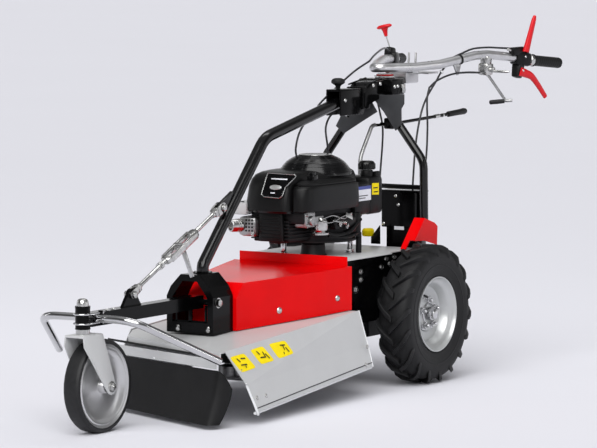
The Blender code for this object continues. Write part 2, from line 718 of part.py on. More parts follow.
def platform_lip():
    lip = box((-PLATFORM_HALF, PLATFORM_FRONT - GAP - 0.003, 0.361),
              (PLATFORM_HALF, PLATFORM_FRONT - GAP, 0.399))
    keep(lip, "platform_lip", gloss("platform_lip", RED), "machine")


def axle_gearbox():
    case = box((-0.075, -0.070, 0.130), (0.075, 0.085, 0.330), 0.008)
    tubes = rod((-0.1652, 0, WHEEL_R), (0.1652, 0, WHEEL_R), 0.030, steps=32)
    keep(join(case, tubes), "axle_gearbox", metal("axle_gearbox", DARK), "machine")


def rear_leg_frame():
    def leg(s):
        return tube([(s * LEG_X, LEG_Y, 0.418), (s * 0.172, LEG_Y, 0.645),
                     (s * 0.038, LEG_Y - 0.008, 0.820)],
                    LEG_R, 0.06, 2, 5)
    feet = [box((s * 0.1600 - 0.0030, 0.066, 0.330), (s * 0.1600 + 0.0050, 0.118, 0.470)) for s in (1, -1)]
    bars = [rod((-0.170, LEG_Y, 0.567), (0.170, LEG_Y, 0.567), 0.0070)]
    keep(join(leg(1), leg(-1), *feet, *bars), "rear_leg_frame", gloss("rear_leg_frame", BLACK), "machine")


def arch_tube():
    path = [(0, -0.833, BRACKET_TOP + GAP), (0, -0.833, 0.405), (0, -0.513, 0.742), (0, -0.122, 0.822)]
    tab = flat_bar(UPPER_PIN + Vector((0, -0.008, -0.004)), UPPER_PIN + Vector((0, 0.062, 0.030)), 0.026,
                   0.010,
                   across=(0, -0.4, 0.9))
    eye = rod(UPPER_PIN - Vector((0.02, 0, 0)), UPPER_PIN + Vector((0.02, 0, 0)), 0.0072)
    keep(cut(join(tube(path, ARCH_R, 0.10, 3, 6), tab), eye), "arch_tube", gloss("arch_tube", BLACK),
         "machine")


def console():
    head = box((-0.060, 0.096, CONSOLE_LOW), (0.058, 0.172, CONSOLE_TOP), 0.003)
    nose = prism([(-0.012, 0.800), (0.100, 0.835), (0.100, 0.882), (0.020, 0.872), (-0.012, 0.850)],
                 -0.032, 0.032, "X")
    clamp = box((-0.0250, -0.140, 0.786), (0.0250, -0.008, 0.862))
    seat = box((-0.0180, -0.160, 0.780), (0.0180, -0.022, 0.848))
    skirt = [(-0.030, 0.838), (0.082, 0.838), (0.086, 0.760), (0.058, 0.732), (0.008, 0.782)]
    left = prism(skirt, 0.104, 0.108, "Y")
    wing = [(-0.070, 0.838), (-0.028, 0.838), (-0.012, 0.800), (-0.100, 0.728), (-0.128, 0.728)]
    right = prism(wing, 0.104, 0.108, "Y")
    post = rod((0, TURRET_Y, CONSOLE_TOP - 0.01), (0, TURRET_Y, CONSOLE_TOP + 0.002), 0.012)
    keep(join(cut(clamp, seat), nose, head, left, right, post), "console", gloss("console", BLACK),
         "machine")


def control_box():
    body = box((0.004, 0.128, 0.440), (0.140, 0.175, 0.552), 0.003)
    foot = box((0.020, 0.132, 0.330), (0.120, 0.138, 0.450))
    keep(join(body, foot), "control_box", gloss("control_box", BLACK), "machine")


def fender(s, name):
    """A steep front strip that is wider above the tyre, and a side plate behind it."""
    peak = [(0.062, 0.4735), (0.062, 0.4795)]
    inner = prism([(-0.0150, 0.3910)] + peak + [(-0.0190, 0.3930)], *sorted((s * 0.157, s * 0.1745)), "X")
    outer = prism([(0.0080, 0.4155)] + peak + [(0.0040, 0.4175)], *sorted((s * 0.174, s * 0.193)), "X")
    flank = [(0.0080, 0.4155), (0.060, 0.4130), (0.135, 0.3950), (0.138, 0.450), (0.120, 0.462),
             (0.062, 0.4795), (0.0060, 0.4185)]
    side = prism(flank, *sorted((s * 0.1895, s * 0.193)), "X")
    keep(join(inner, outer, side), name, gloss(name, RED), "machine")


# ---------------------------------------------------------------- engine

def engine_block():
    case = rod((0, CRANK_Y, ENGINE_BASE), (0, CRANK_Y, SHROUD_LOW - GAP), 0.112, steps=32)
    barrel = box((-0.075, -0.455, 0.440), (0.045, -0.280, SHROUD_LOW - GAP), 0.004)
    keep(join(case, barrel), "engine_block", matte("engine_block", DARK), "machine")


def engine_shroud():
    plan = [(-0.118, -0.130), (-0.125, -0.300), (-0.100, -0.430), (-0.060, -0.478), (0.018, -0.486),
            (0.040, -0.455),
            (0.046, -0.360), (0.090, -0.300), (0.100, -0.150), (-0.012, -0.110)]
    body = prism(plan, SHROUD_LOW, SHROUD_TOP)
    keep(round_edges(body, 0.010, 2), "engine_shroud", gloss("engine_shroud", BLACK), "machine")


def recoil_cover():
    dome = lathe([(0.0, RECOIL_TOP), (RECOIL_TOP_R, RECOIL_TOP), (RECOIL_TOP_R + 0.006, RECOIL_TOP - 0.004),
                  (0.086, RECOIL_TOP - 0.022), (RECOIL_BASE_R, SHROUD_TOP + 0.010),
                  (RECOIL_BASE_R, SHROUD_TOP + GAP),
                  (0.0, SHROUD_TOP + GAP)],
                 (0, CRANK_Y, 0))
    keep(dome, "recoil_cover", gloss("recoil_cover", BLACK), "machine")


def air_filter():
    plan = [(0.052, -0.372), (0.052, -0.455), (0.100, -0.450), (0.112, -0.430), (0.125, -0.210),
            (0.104, -0.198),
            (0.104, -0.303)]
    body = round_edges(prism(plan, SHROUD_LOW, SHROUD_TOP - 0.012), 0.006)
    keep(body, "air_filter", gloss("air_filter", BLACK), "machine")


def fuel_tank():
    body = box((-0.010, -0.105, 0.500), (0.105, -0.030, 0.612), 0.010)
    neck = rod((0.072, -0.070, 0.605), (0.072, -0.070, CAP_Z), 0.018, steps=24)
    keep(join(body, neck), "fuel_tank", gloss("fuel_tank", BLACK), "machine")


def fuel_cap():
    turn = pivot("fuel_cap_axis", (0.072, -0.070, CAP_Z), "machine")
    top = CAP_Z + 0.028
    cap = lathe([(0.0, top), (0.020, top), (0.025, top - 0.005), (0.025, CAP_Z + GAP), (0.0, CAP_Z + GAP)],
                (0.072, -0.070, 0), steps=24)
    keep(cap, "fuel_cap", gloss("fuel_cap", BLACK), turn)


def carburettor():
    body = box((0.060, -0.440, 0.462), (0.108, -0.372, SHROUD_LOW - GAP), 0.004)
    bowl = rod((0.084, -0.350, 0.448), (0.084, -0.350, 0.500), 0.022, steps=24)
    link = box((0.064, -0.375, 0.480), (0.104, -0.340, 0.510))
    keep(join(body, bowl, link), "carburettor", metal("carburettor"), "machine")


def muffler():
    body = box((-0.168, -0.485, 0.452), (-0.0765, -0.375, SHROUD_LOW - GAP))
    crown = box((-0.168, -0.485, 0.500), (-0.128, -0.375, 0.530))
    outlet = rod((-0.146, -0.500, 0.490), (-0.146, -0.470, 0.490), 0.014, steps=24)
    keep(join(body, crown, outlet), "muffler", metal("muffler"), "machine")


# ---------------------------------------------------------------- handlebar and controls

ARM = [Vector((0.030, 0.145, 0.917)), Vector((0.082, 0.250, 0.915)), Vector((0.136, 0.350, 0.916)),
       Vector((0.150, 0.392, 0.942)), Vector((0.180, 0.460, 0.946)), Vector((0.212, 0.530, 0.934)),
       Vector((0.244, 0.625, 0.926)), Vector((0.279, 0.724, 0.9155))]


def turret():
    yaw = pivot("turret_axis", (0, TURRET_Y, CONSOLE_TOP), "machine")
    top = CONSOLE_TOP + 0.002 + GAP
    base = lathe([(0.0, top + 0.010), (0.022, top + 0.010), (0.022, top + 0.005), (0.032, top + 0.005),
                  (0.032, top),
                  (0.0, top)], (0, TURRET_Y, 0), steps=32)
    keep(base, "handle_turret", metal("handle_turret"), yaw)


def handlebar_tube():
    pitch = pivot("handle_axis", (0, TURRET_Y, 0.905), "turret_axis")
    nose = Vector((0.012, 0.107, 0.917))
    path = [mirrored(p) for p in reversed(ARM)] + [mirrored(nose), nose] + ARM
    bar = tube(path, BAR_R, 0.030, 2, 3)
    block = box((-0.022, 0.212, 0.864), (0.040, 0.290, 0.9030), 0.004)
    saddle = box((-0.064, 0.212, 0.899), (0.064, 0.250, 0.9060))
    wedge = box((0.020, 0.285, 0.893), (0.075, 0.345, 0.8985))
    studs = [rod((x, 0.284, 0.896), (x, 0.290, 0.955), 0.0030, steps=8) for x in (0.004, 0.028)]
    lug = box((0.127, 0.352, 0.888), (0.133, 0.385, 0.925))
    under = flat_bar((0.1790, 0.455, 0.940), (0.1760, 0.455, 0.892), 0.026, 0.022)
    keep(join(bar, block, saddle, wedge, *studs, lug, under), "handlebar_tube", metal("handlebar_tube"),
         pitch)


def grip(side, name):
    end, start = ARM[-1], ARM[-2]
    axis = (end - start).normalized()
    top = (end - start).length + 0.012
    sleeve = lathe([(0.0, top), (GRIP_R - 0.004, top), (GRIP_R, top - 0.004), (GRIP_R, 0.006),
                    (GRIP_R + 0.003, 0.004),
                    (GRIP_R + 0.003, 0.0), (BAR_R + GAP, 0.0), (BAR_R + GAP, top - 0.0116),
                    (0.0, top - 0.0116)],
                   start, axis, steps=24)
    if side < 0:
        sleeve.matrix_world = aim(mirrored(axis), mirrored(start))
    keep(sleeve, name, matte(name, RUBBER), "handle_axis")


def lever_clamp(side, name):
    start, end = ARM[-3], ARM[-2]
    axis = (end - start).normalized()
    middle = start.lerp(end, 0.50)
    low = middle + Vector((-0.002, 0, -0.068))
    block = flat_bar(middle - axis * 0.024, middle + axis * 0.024, 0.040, 0.036, across=(0, 0, 1))
    cap = flat_bar(middle + Vector((0.004, 0, 0.012)), middle + Vector((0.004, 0, 0.032)), 0.026, 0.030,
                   across=(1, 0, 0))
    stem = flat_bar(low, middle + Vector((-0.002, 0, -0.010)), 0.024, 0.026)
    bore = rod(start - axis * 0.02, end + axis * 0.02, BAR_R + GAP)
    clamp = cut(join(block, cap, stem), bore)
    if side < 0:
        for piece in (block, cap, stem, bore):
            piece.data.transform(Matrix.Scale(-1, 4, (1, 0, 0)))
            piece.data.flip_normals()
    keep(clamp, name, matte(name, BLACK), "handle_axis")


def drive_lever():
    hinge = pivot("drive_lever_axis", (0.247, 0.6065, 0.957), "handle_axis")
    base, tip = Vector((0.2470, 0.6065, 0.9530)), Vector((0.2690, 0.6140, 1.0660))
    blade = flat_bar(base, tip, 0.022, 0.007, 0.013, across=(1, 0, 0))
    end = rod(tip - Vector((0, 0.0034, 0.0018)), tip + Vector((0, 0.0034, -0.0018)), 0.0063)
    keep(join(blade, end), "drive_lever", gloss("drive_lever", RED), hinge)


def blade_lever():
    hinge = pivot("blade_lever_axis", (0.227, 0.596, 0.872), "handle_axis")
    knee = Vector((0.2460, 0.6220, 0.8660))
    root = flat_bar((0.2320, 0.6040, 0.8840), knee, 0.022, 0.009, 0.017)
    blade = flat_bar(knee - Vector((0.002, 0.002, -0.004)), (0.2680, 0.6660, 0.8100), 0.017, 0.008, 0.011)
    keep(join(root, blade), "blade_lever", gloss("blade_lever", RED), hinge)


def shift_knob():
    hinge = pivot("shift_knob_axis", (-0.234, 0.577, 0.968), "handle_axis")
    foot = Vector((-0.2340, 0.5770, 0.9636))
    neck = Vector((-0.2490, 0.5770, 0.9990))
    top = Vector((-0.2550, 0.5770, 1.0180))
    stem = rod(foot, neck + (top - neck) * 0.2, 0.0030, steps=12)
    cone = rod(neck, top, 0.0055, 0.0100)
    head = flat_bar(top + Vector((-0.022, 0.0, 0.002)), top + Vector((0.022, 0.0, 0.010)), 0.018, 0.012)
    keep(join(stem, cone, head), "shift_knob", gloss("shift_knob", RED), hinge)


def park_lever():
    hinge = pivot("park_lever_axis", (0.178, 0.460, 0.885), "handle_axis")
    foot, knee = Vector((0.1810, 0.4600, 0.8880)), Vector((0.2220, 0.5000, 0.8060))
    arm = rod(foot, knee, 0.0032, steps=12)
    handle = rod(knee + Vector((0.006, 0.005, 0)), (0.1830, 0.4700, 0.8020), 0.0070)
    keep(join(arm, handle), "park_lever", matte("park_lever", BLACK), hinge)


def gear_lever():
    hinge = pivot("gear_lever_axis", (0.030, 0.130, 0.748), "machine")
    boss = rod((0.018, 0.130, 0.748), (0.042, 0.130, 0.748), 0.013, steps=24)
    arm = rod((0.030, 0.130, 0.748), (0.030, 0.485, 0.7610), 0.0050, steps=12)
    handle = rod((0.030, 0.480, 0.7608), (0.030, 0.590, 0.7660), 0.0100)
    horn = rod((0.0, 0.130, 0.748), (0.030, 0.130, 0.748), 0.0050, steps=12)
    crank = flat_bar((0.0, 0.136, 0.746), (0.0, 0.096, 0.746), 0.012, 0.008, across=(1, 0, 0))
    keep(join(boss, arm, handle, horn, crank), "gear_lever", matte("gear_lever", BLACK), hinge)


def gear_link():
    eye = pivot("gear_link_axis", (0.0, 0.090, 0.746), "gear_lever_axis")
    path = [(0.0, 0.0940, 0.746), (0.0, 0.078, 0.742), (0.0, 0.012, 0.655), (0.0, 0.004, 0.420)]
    keep(tube(path, 0.0055, 0.05, 2, 4), "gear_link", metal("gear_link"), eye)


def index_knob():
    slide = pivot("index_knob_axis", (0, INDEX_Y, 0.862), "machine")
    knob = lathe([(0.0, 0.895), (0.014, 0.894), (0.0205, 0.886), (0.0205, 0.880), (0.009, 0.874),
                  (0.006, 0.870),
                  (0.006, 0.8623), (0.0, 0.8623)], (0, INDEX_Y, 0), steps=24)
    keep(knob, "index_knob", matte("index_knob", BLACK), slide)


def cable(name, points, parent):
    keep(tube(points, CABLE_R, 0.06, 2, 2), name, matte(name, RUBBER), parent)


def cables():
    """Each control cable is held at both ends; it is split where it leaves the turning handlebar."""
    left_split, right_split = (0.100, 0.380, 0.840), (-0.075, 0.140, 0.862)
    cable("cable_left_upper", [(0.206, 0.543, 0.972), (0.165, 0.430, 0.974), (0.120, 0.384, 0.960),
                               left_split],
          "handle_axis")
    cable("cable_left_lower", [(0.0995, 0.3795, 0.8380), (0.090, 0.350, 0.740), (0.088, 0.250, 0.590),
                               (0.088, 0.195, 0.450)], "machine")
    cable("cable_right_upper", [(-0.206, 0.543, 0.960), (-0.150, 0.400, 0.968), (-0.110, 0.280, 0.942),
                                right_split],
          "handle_axis")
    cable("cable_right_lower", [(-0.0750, 0.1360, 0.8600), (-0.070, 0.000, 0.812), (-0.045, -0.150, 0.765),
                                (-0.035, -0.300, 0.700), (-0.035, -0.310, 0.670)], "machine")


def build():
    pivot("machine", (0, 0, 0))
    drive_wheel(1, "left")
    drive_wheel(-1, "right")
    front_beam()
    bumper_bar()
    caster_fork()
    caster_wheel()
    adjuster_upper()
    adjuster_sleeve()
    adjuster_lower()
    deck_plate()
    guard_left()
    guard_right()
    flap_strip()
    front_flap()
    front_bracket()
    belt_cover()
    spindle_housing()
    blade_spindle()
    cutter_blade()
    crank_pulley()
    drive_belt()
    chassis_frame()
    engine_platform()
    platform_lip()
    axle_gearbox()
    rear_leg_frame()
    arch_tube()
    console()
    control_box()
    fender(1, "fender_left")
    fender(-1, "fender_right")
    engine_block()
    engine_shroud()
    recoil_cover()
    air_filter()
    fuel_tank()
    fuel_cap()
    carburettor()
    muffler()
    turret()
    handlebar_tube()
    grip(1, "grip_left")
    grip(-1, "grip_right")
    lever_clamp(1, "lever_clamp_left")
    lever_clamp(-1, "lever_clamp_right")
    drive_lever()
    blade_lever()
    shift_knob()
    park_lever()
    gear_lever()
    gear_link()
    index_knob()
    cables()


build()
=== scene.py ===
"""The brush mower as it looks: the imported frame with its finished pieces, materials, light and camera.

Places are given in the working frame (origin on the ground under the drive axle) and shifted by SHIFT in Y.
"""
import math

import bmesh
import bpy
from mathutils import Matrix, Vector


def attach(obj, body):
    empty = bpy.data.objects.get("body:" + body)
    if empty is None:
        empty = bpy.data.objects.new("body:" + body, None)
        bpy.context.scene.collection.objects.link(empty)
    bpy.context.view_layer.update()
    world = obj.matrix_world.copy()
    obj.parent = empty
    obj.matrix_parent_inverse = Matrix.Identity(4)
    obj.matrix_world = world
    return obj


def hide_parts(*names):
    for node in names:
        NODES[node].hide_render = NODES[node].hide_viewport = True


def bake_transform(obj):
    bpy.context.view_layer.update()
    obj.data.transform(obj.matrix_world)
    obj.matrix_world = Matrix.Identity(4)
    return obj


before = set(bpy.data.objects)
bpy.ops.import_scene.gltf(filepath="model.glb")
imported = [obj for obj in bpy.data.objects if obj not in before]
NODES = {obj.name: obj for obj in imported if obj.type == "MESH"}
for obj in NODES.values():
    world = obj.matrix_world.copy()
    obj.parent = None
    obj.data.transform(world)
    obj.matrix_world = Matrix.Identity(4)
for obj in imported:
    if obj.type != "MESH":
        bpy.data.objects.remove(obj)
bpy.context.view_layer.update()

SHIFT = 0.3632
AXLE_X, AXLE_Z = 0.2285, 0.205          # middle of a drive wheel
SLEEVE_Y = -1.407                       # upright swivel sleeve at the front end of the beam
CASTER_HUB = (0, -1.34, 0.126)
CRANK_AXIS = (0, -0.24, 0)              # upright crankshaft and recoil cover
ARCH_FOOT = (0, -0.833, 0)
TURRET_AXIS = (0, 0.154, 0)
KNOB_AXIS = (0, -0.114, 0)
CAP_AXIS = (0.072, -0.07, 0)
BOWL_AXIS = (0.092, -0.362, 0.012)
STRIP_LEFT, STRIP_RIGHT = Vector((0.238, -1.11, 0)), Vector((-0.235, -0.95, 0))
CABLE_RADIUS = 0.003
CAMERA_PLACE, CAMERA_TURN, FOCAL_LENGTH = (5.6, -8.8908, 1.419), (84.92, 0.0, 32.116), 220.56
SUN_PLACE, SUN_POWER, SUN_SPREAD = (1.2, -3.0, 3.4), 3.45, 60
SCENE = bpy.context.scene


# ---------------------------------------------------------------- materials

def finish(name, colour, rough, metallic=0.0, shine=0.5, grain=60.0, vary=0.08, rough_vary=0.08, bump=0.0,
           stretch=(1, 1, 1), fine=0.0):
    """A procedural surface: a noise varies its colour and roughness, and may raise it."""
    made = bpy.data.materials.new(name)
    made.use_nodes = True
    nodes, links = made.node_tree.nodes, made.node_tree.links
    shader = nodes["Principled BSDF"]
    place = nodes.new("ShaderNodeTexCoord")
    mapping = nodes.new("ShaderNodeMapping")
    mapping.inputs["Scale"].default_value = stretch
    noise = nodes.new("ShaderNodeTexNoise")
    noise.inputs["Scale"].default_value = grain
    noise.inputs["Detail"].default_value = 4.0
    links.new(place.outputs["Object"], mapping.inputs["Vector"])
    links.new(mapping.outputs["Vector"], noise.inputs["Vector"])
    ramp = nodes.new("ShaderNodeValToRGB")
    ramp.color_ramp.elements[0].position = 0.3
    ramp.color_ramp.elements[1].position = 0.7
    ramp.color_ramp.elements[0].color = (*[c * (1 - vary) for c in colour], 1)
    ramp.color_ramp.elements[1].color = (*[min(1, c * (1 + vary)) for c in colour], 1)
    links.new(noise.outputs["Fac"], ramp.inputs["Fac"])
    links.new(ramp.outputs["Color"], shader.inputs["Base Color"])
    span = nodes.new("ShaderNodeMapRange")
    span.inputs["To Min"].default_value = max(0.02, rough - rough_vary)
    span.inputs["To Max"].default_value = min(1.0, rough + rough_vary)
    links.new(noise.outputs["Fac"], span.inputs["Value"])
    links.new(span.outputs["Result"], shader.inputs["Roughness"])
    shader.inputs["Metallic"].default_value = metallic
    shader.inputs["Specular IOR Level"].default_value = shine
    if bump:
        relief = nodes.new("ShaderNodeBump")
        relief.inputs["Strength"].default_value = bump
        relief.inputs["Distance"].default_value = 0.001
        source = noise
        if fine:
            source = nodes.new("ShaderNodeTexNoise")
            source.inputs["Scale"].default_value = fine
            links.new(mapping.outputs["Vector"], source.inputs["Vector"])
        links.new(source.outputs["Fac"], relief.inputs["Height"])
        links.new(relief.outputs["Normal"], shader.inputs["Normal"])
    return made


RED = finish("red_enamel", (0.7, 0.001, 0.002), 0.2, shine=0.12, grain=9, vary=0.05, rough_vary=0.04)
RED_LEVER = finish("red_moulding", (0.6, 0.006, 0.012), 0.35, shine=0.3, grain=120, vary=0.05, bump=0.05)
BLACK = finish("black_enamel", (0.0016, 0.0016, 0.0018), 0.16, shine=0.12, grain=14, vary=0.2,
               rough_vary=0.05)
TUBE = finish("tube_enamel", (0.002, 0.002, 0.0023), 0.14, shine=0.45, grain=14, vary=0.2, rough_vary=0.04)
# Dark grey enamel of the console gussets; the same colour also stands for painted shade in the guard's
# groove.
GUSSET_AND_GROOVE_SHADE = finish("dark_grey_enamel_and_groove_shade", (0.036, 0.037, 0.04), 0.42, shine=0.3, grain=30, vary=0.1)
PLASTIC = finish("black_moulding", (0.004, 0.004, 0.0042), 0.36, shine=0.2, grain=900, vary=0.15, bump=0.2)
GLOSSY = finish("glossy_black_moulding", (0.0026, 0.0026, 0.003), 0.2, shine=0.32, grain=40, vary=0.2,
                rough_vary=0.06)
CAST = finish("dark_casting", (0.006, 0.006, 0.007), 0.5, metallic=0.2, shine=0.3, grain=250, vary=0.3,
              bump=0.4)
GREY = finish("light_grey_enamel", (0.5, 0.505, 0.51), 0.36, shine=0.4, grain=8, vary=0.03, rough_vary=0.06)
HEM = finish("pale_edge_enamel", (0.74, 0.75, 0.76), 0.35, grain=30, vary=0.04)
ZINC = finish("zinc_plate", (0.56, 0.56, 0.55), 0.24, metallic=1.0, grain=55, vary=0.16, rough_vary=0.1)
CHROME = finish("chrome_plate", (0.6, 0.6, 0.61), 0.12, metallic=1.0, grain=12, vary=0.08, rough_vary=0.05)
STEEL = finish("plain_steel", (0.38, 0.38, 0.38), 0.36, metallic=1.0, grain=30, vary=0.15,
               stretch=(1, 1, 12))
RIM = finish("silver_rim_paint", (0.52, 0.53, 0.53), 0.34, metallic=0.6, grain=20, vary=0.06)
POLISH = finish("spun_disc", (0.6, 0.6, 0.605), 0.3, metallic=0.8, grain=10, vary=0.05, rough_vary=0.05)
SATIN = finish("satin_tube", (0.58, 0.58, 0.59), 0.3, metallic=0.9, grain=35, vary=0.07)
TYRE = finish("tyre_rubber", (0.0085, 0.0085, 0.0092), 0.55, shine=0.24, grain=38, vary=0.35,
              rough_vary=0.14, bump=0.35, fine=420)
BLOCK = finish("solid_tyre", (0.011, 0.011, 0.012), 0.5, shine=0.3, grain=90, vary=0.2, bump=0.15)
MAT = finish("rubber_sheet", (0.0095, 0.0095, 0.01), 0.55, shine=0.15, grain=16, vary=0.3, rough_vary=0.1,
             bump=0.2, fine=300)
GRIP = finish("grip_rubber", (0.0045, 0.0045, 0.005), 0.5, shine=0.3, grain=300, vary=0.2, bump=0.4)
YELLOW = finish("yellow_film", (0.95, 0.74, 0.0), 0.45, shine=0.15, grain=50, vary=0.04)
WHITE = finish("white_film", (0.78, 0.79, 0.84), 0.4, grain=50, vary=0.04)
BLUE = finish("blue_film", (0.05, 0.07, 0.3), 0.4, grain=50, vary=0.06)
# Black print for the label marks; the same black also stands for painted shade in the deck's front gap.
INK_AND_GAP_SHADE = finish("black_print_and_gap_shade", (0.01, 0.01, 0.01), 0.5, shine=0.2, grain=200, vary=0.2)
CABLE = finish("cable_sheath", (0.018, 0.018, 0.021), 0.35, shine=0.4, grain=100, vary=0.15)
TIE = finish("white_tie", (0.8, 0.81, 0.82), 0.4, grain=80, vary=0.05)
SLOT = finish("vent_shadow", (0.002, 0.002, 0.002), 0.7, shine=0.1, grain=80, vary=0.2)


# ---------------------------------------------------------------- shapes

def outward(bm):
    """Turn every face of a solid outwards."""
    bmesh.ops.recalc_face_normals(bm, faces=bm.faces[:])
    return bm


def aim(direction, start):
    """The matrix that carries Z onto a direction and the origin to a start."""
    turn = Vector(direction).to_track_quat("Z", "Y").to_matrix().to_4x4()
    return Matrix.Translation(start) @ turn


def bevelled(bm, width, segments=2, angle=40):
    """Round the edges that are sharper than the angle."""
    edges = [e for e in bm.edges if len(e.link_faces) == 2 and e.calc_face_angle(0) > math.radians(angle)]
    bmesh.ops.bevel(bm, geom=edges, offset=width, segments=segments, affect="EDGES", profile=0.5,
                    clamp_overlap=True)
    return bm


def box(low, high, bevel=0.0015):
    """A box between two corners, with rounded edges."""
    low, high = Vector(low), Vector(high)
    bm = bmesh.new()
    bmesh.ops.create_cube(bm, size=1.0)
    for vert in bm.verts:
        vert.co = (low + high) / 2 + Vector(a * b for a, b in zip(vert.co, high - low))
    return bevelled(bm, bevel) if bevel else bm


def rod(start, end, radius, end_radius=None, steps=24, bevel=0.0):
    """A round bar, cone or prism between two points."""
    start, end = Vector(start), Vector(end)
    bm = bmesh.new()
    bmesh.ops.create_cone(bm, cap_ends=True, segments=steps, radius1=radius,
                          radius2=radius if end_radius is None else end_radius, depth=(end - start).length)
    if bevel:
        bevelled(bm, bevel, 2, 60 if steps > 8 else 30)
    bmesh.ops.transform(bm, matrix=aim(end - start, (start + end) / 2), verts=bm.verts[:])
    return bm


def turned(profile, centre, direction=(0, 0, 1), steps=48, closed=False):
    """Rings of (radius, height) points around an axis; a zero radius closes an end."""
    bm = bmesh.new()
    rings = []
    for r, z in profile:
        if r < 1e-6:
            rings.append([bm.verts.new((0, 0, z))])
        else:
            rings.append([bm.verts.new((r * math.cos(a), r * math.sin(a), z))
                          for a in (2 * math.pi * i / steps for i in range(steps))])
    pairs = list(zip(rings, rings[1:] + ([rings[0]] if closed else [])))
    for one, two in pairs[:len(rings) if closed else len(rings) - 1]:
        for i in range(steps):
            j = (i + 1) % steps
            corners = [one[i % len(one)], one[j % len(one)], two[j % len(two)], two[i % len(two)]]
            corners = [v for k, v in enumerate(corners) if v not in corners[:k]]
            if len(corners) > 2:
                bm.faces.new(corners)
    bmesh.ops.transform(bm, matrix=aim(direction, centre), verts=bm.verts[:])
    return outward(bm)


def bent(corners, radius, steps=6):
    """A path with rounded corners."""
    corners = [Vector(c) for c in corners]
    path = [corners[0]]
    for before, corner, after in zip(corners, corners[1:], corners[2:]):
        into, out = (corner - before).normalized(), (after - corner).normalized()
        half = into.angle(out) / 2
        if half < 0.01:
            path.append(corner)
            continue
        reach = min(radius * math.tan(half), (corner - before).length * 0.48,
                    (after - corner).length * 0.48)
        first, last = corner - into * reach, corner + out * reach
        for i in range(steps + 1):
            t = i / steps
            path.append(first * (1 - t) ** 2 + corner * 2 * t * (1 - t) + last * t ** 2)
    path.append(corners[-1])
    return path


def smooth_path(points, steps=8):
    """A Catmull-Rom line through the points."""
    pts = [Vector(p) for p in points]
    pts = [pts[0] * 2 - pts[1]] + pts + [pts[-1] * 2 - pts[-2]]
    path = []
    for a, b, c, d in zip(pts, pts[1:], pts[2:], pts[3:]):
        for i in range(steps):
            t = i / steps
            path.append((b * 2 + (c - a) * t + (a * 2 - b * 5 + c * 4 - d) * t ** 2
                         + (b * 3 - a - c * 3 + d) * t ** 3) * 0.5)
    return path + [pts[-2]]


def sweep(path, radius, steps=16, radii=None):
    """A round section carried along a path without twist."""
    bm = bmesh.new()
    rings = []
    side = None
    for i, point in enumerate(path):
        ahead = (path[min(i + 1, len(path) - 1)] - path[max(i - 1, 0)]).normalized()
        if side is None:
            side = ahead.orthogonal().normalized()
        side = (side - ahead * side.dot(ahead)).normalized()
        other = ahead.cross(side)
        r = radii[i] if radii else radius
        rings.append([bm.verts.new(point + (side * math.cos(a) + other * math.sin(a)) * r)
                      for a in (2 * math.pi * k / steps for k in range(steps))])
    for one, two in zip(rings, rings[1:]):
        for i in range(steps):
            j = (i + 1) % steps
            bm.faces.new((one[i], one[j], two[j], two[i]))
    bm.faces.new(rings[0][::-1])
    bm.faces.new(rings[-1])
    return outward(bm)


def tube(corners, radius, bend=0.05, steps=20, arcs=8):
    """A round tube along corners that are bent."""
    return sweep(bent(corners, bend, arcs), radius, steps)


def wire(points, radius, steps=10):
    """A round cord through the points."""
    return sweep(smooth_path(points), radius, steps)


def loft(rings, bevel=0.0, seg=2):
    """Skin between matching rings of points, with flat ends."""
    bm = bmesh.new()
    made = [[bm.verts.new(p) for p in ring] for ring in rings]
    count = len(made[0])
    for one, two in zip(made, made[1:]):
        for i in range(count):
            j = (i + 1) % count
            bm.faces.new((one[i], one[j], two[j], two[i]))
    bm.faces.new(made[0][::-1])
    bm.faces.new(made[-1])
    outward(bm)
    return bevelled(bm, bevel, seg) if bevel else bm


def prism(outline, low, high, along="Z", bevel=0.0):
    """An outline pushed along one axis."""
    place = {"X": lambda u, v, w: (w, u, v), "Y": lambda u, v, w: (u, w, v), "Z": lambda u, v,
             w: (u, v, w)}[along]
    return loft([[place(u, v, w) for u, v in outline] for w in (low, high)], bevel)


def bar(start, end, wide, thick, end_wide=None, across=(0, 1, 0), bevel=0.001):
    """A flat bar between two points, wide across one direction."""
    start, end = Vector(start), Vector(end)
    axis = (end - start).normalized()
    side = Vector(across)
    side = (side - axis * side.dot(axis)).normalized()
    turn = Matrix((side, axis.cross(side), axis)).transposed().to_4x4()
    bm = bmesh.new()
    bmesh.ops.create_cube(bm, size=1.0)
    for vert in bm.verts:
        width = wide if vert.co.z < 0 or end_wide is None else end_wide
        vert.co = Vector((vert.co.x * width, vert.co.y * thick, (vert.co.z + 0.5) * (end - start).length))
    bmesh.ops.transform(bm, matrix=Matrix.Translation(start) @ turn, verts=bm.verts[:])
    return bevelled(bm, bevel) if bevel else bm


def plate(corners, thick, lift=0.0, bevel=0.0):
    """A thin flat plate on a face, standing off it along the face's normal."""
    corners = [Vector(c) for c in corners]
    up = (corners[1] - corners[0]).cross(corners[2] - corners[0]).normalized()
    return loft([[c + up * lift for c in corners], [c + up * (lift + thick) for c in corners]], bevel)


def bolt(place, outwards, radius=0.006, height=0.004, washer=True):
    """A hexagon head, on a washer."""
    place, outwards = Vector(place), Vector(outwards).normalized()
    pieces = [rod(place, place + outwards * height, radius, steps=6, bevel=0.0006)]
    if washer:
        pieces.append(rod(place - outwards * 0.0005, place + outwards * 0.0012, radius * 1.5, steps=24))
    return pieces


def dome(place, outwards, radius=0.008, height=0.004):
    """A low rounded bolt head."""
    return turned([(0, height), (radius * 0.5, height * 0.88), (radius * 0.85, height * 0.5), (radius, 0.0),
                   (0, -0.0005)], place, outwards, 24)


def hexnut(place, outwards, radius, height):
    """A hexagon nut without a washer."""
    place, outwards = Vector(place), Vector(outwards).normalized()
    return rod(place, place + outwards * height, radius, steps=6, bevel=0.0008)


def flip(bm):
    """Mirror a solid from left to right."""
    bmesh.ops.transform(bm, matrix=Matrix.Scale(-1, 4, (1, 0, 0)), verts=bm.verts[:])
    bmesh.ops.reverse_faces(bm, faces=bm.faces[:])
    return bm


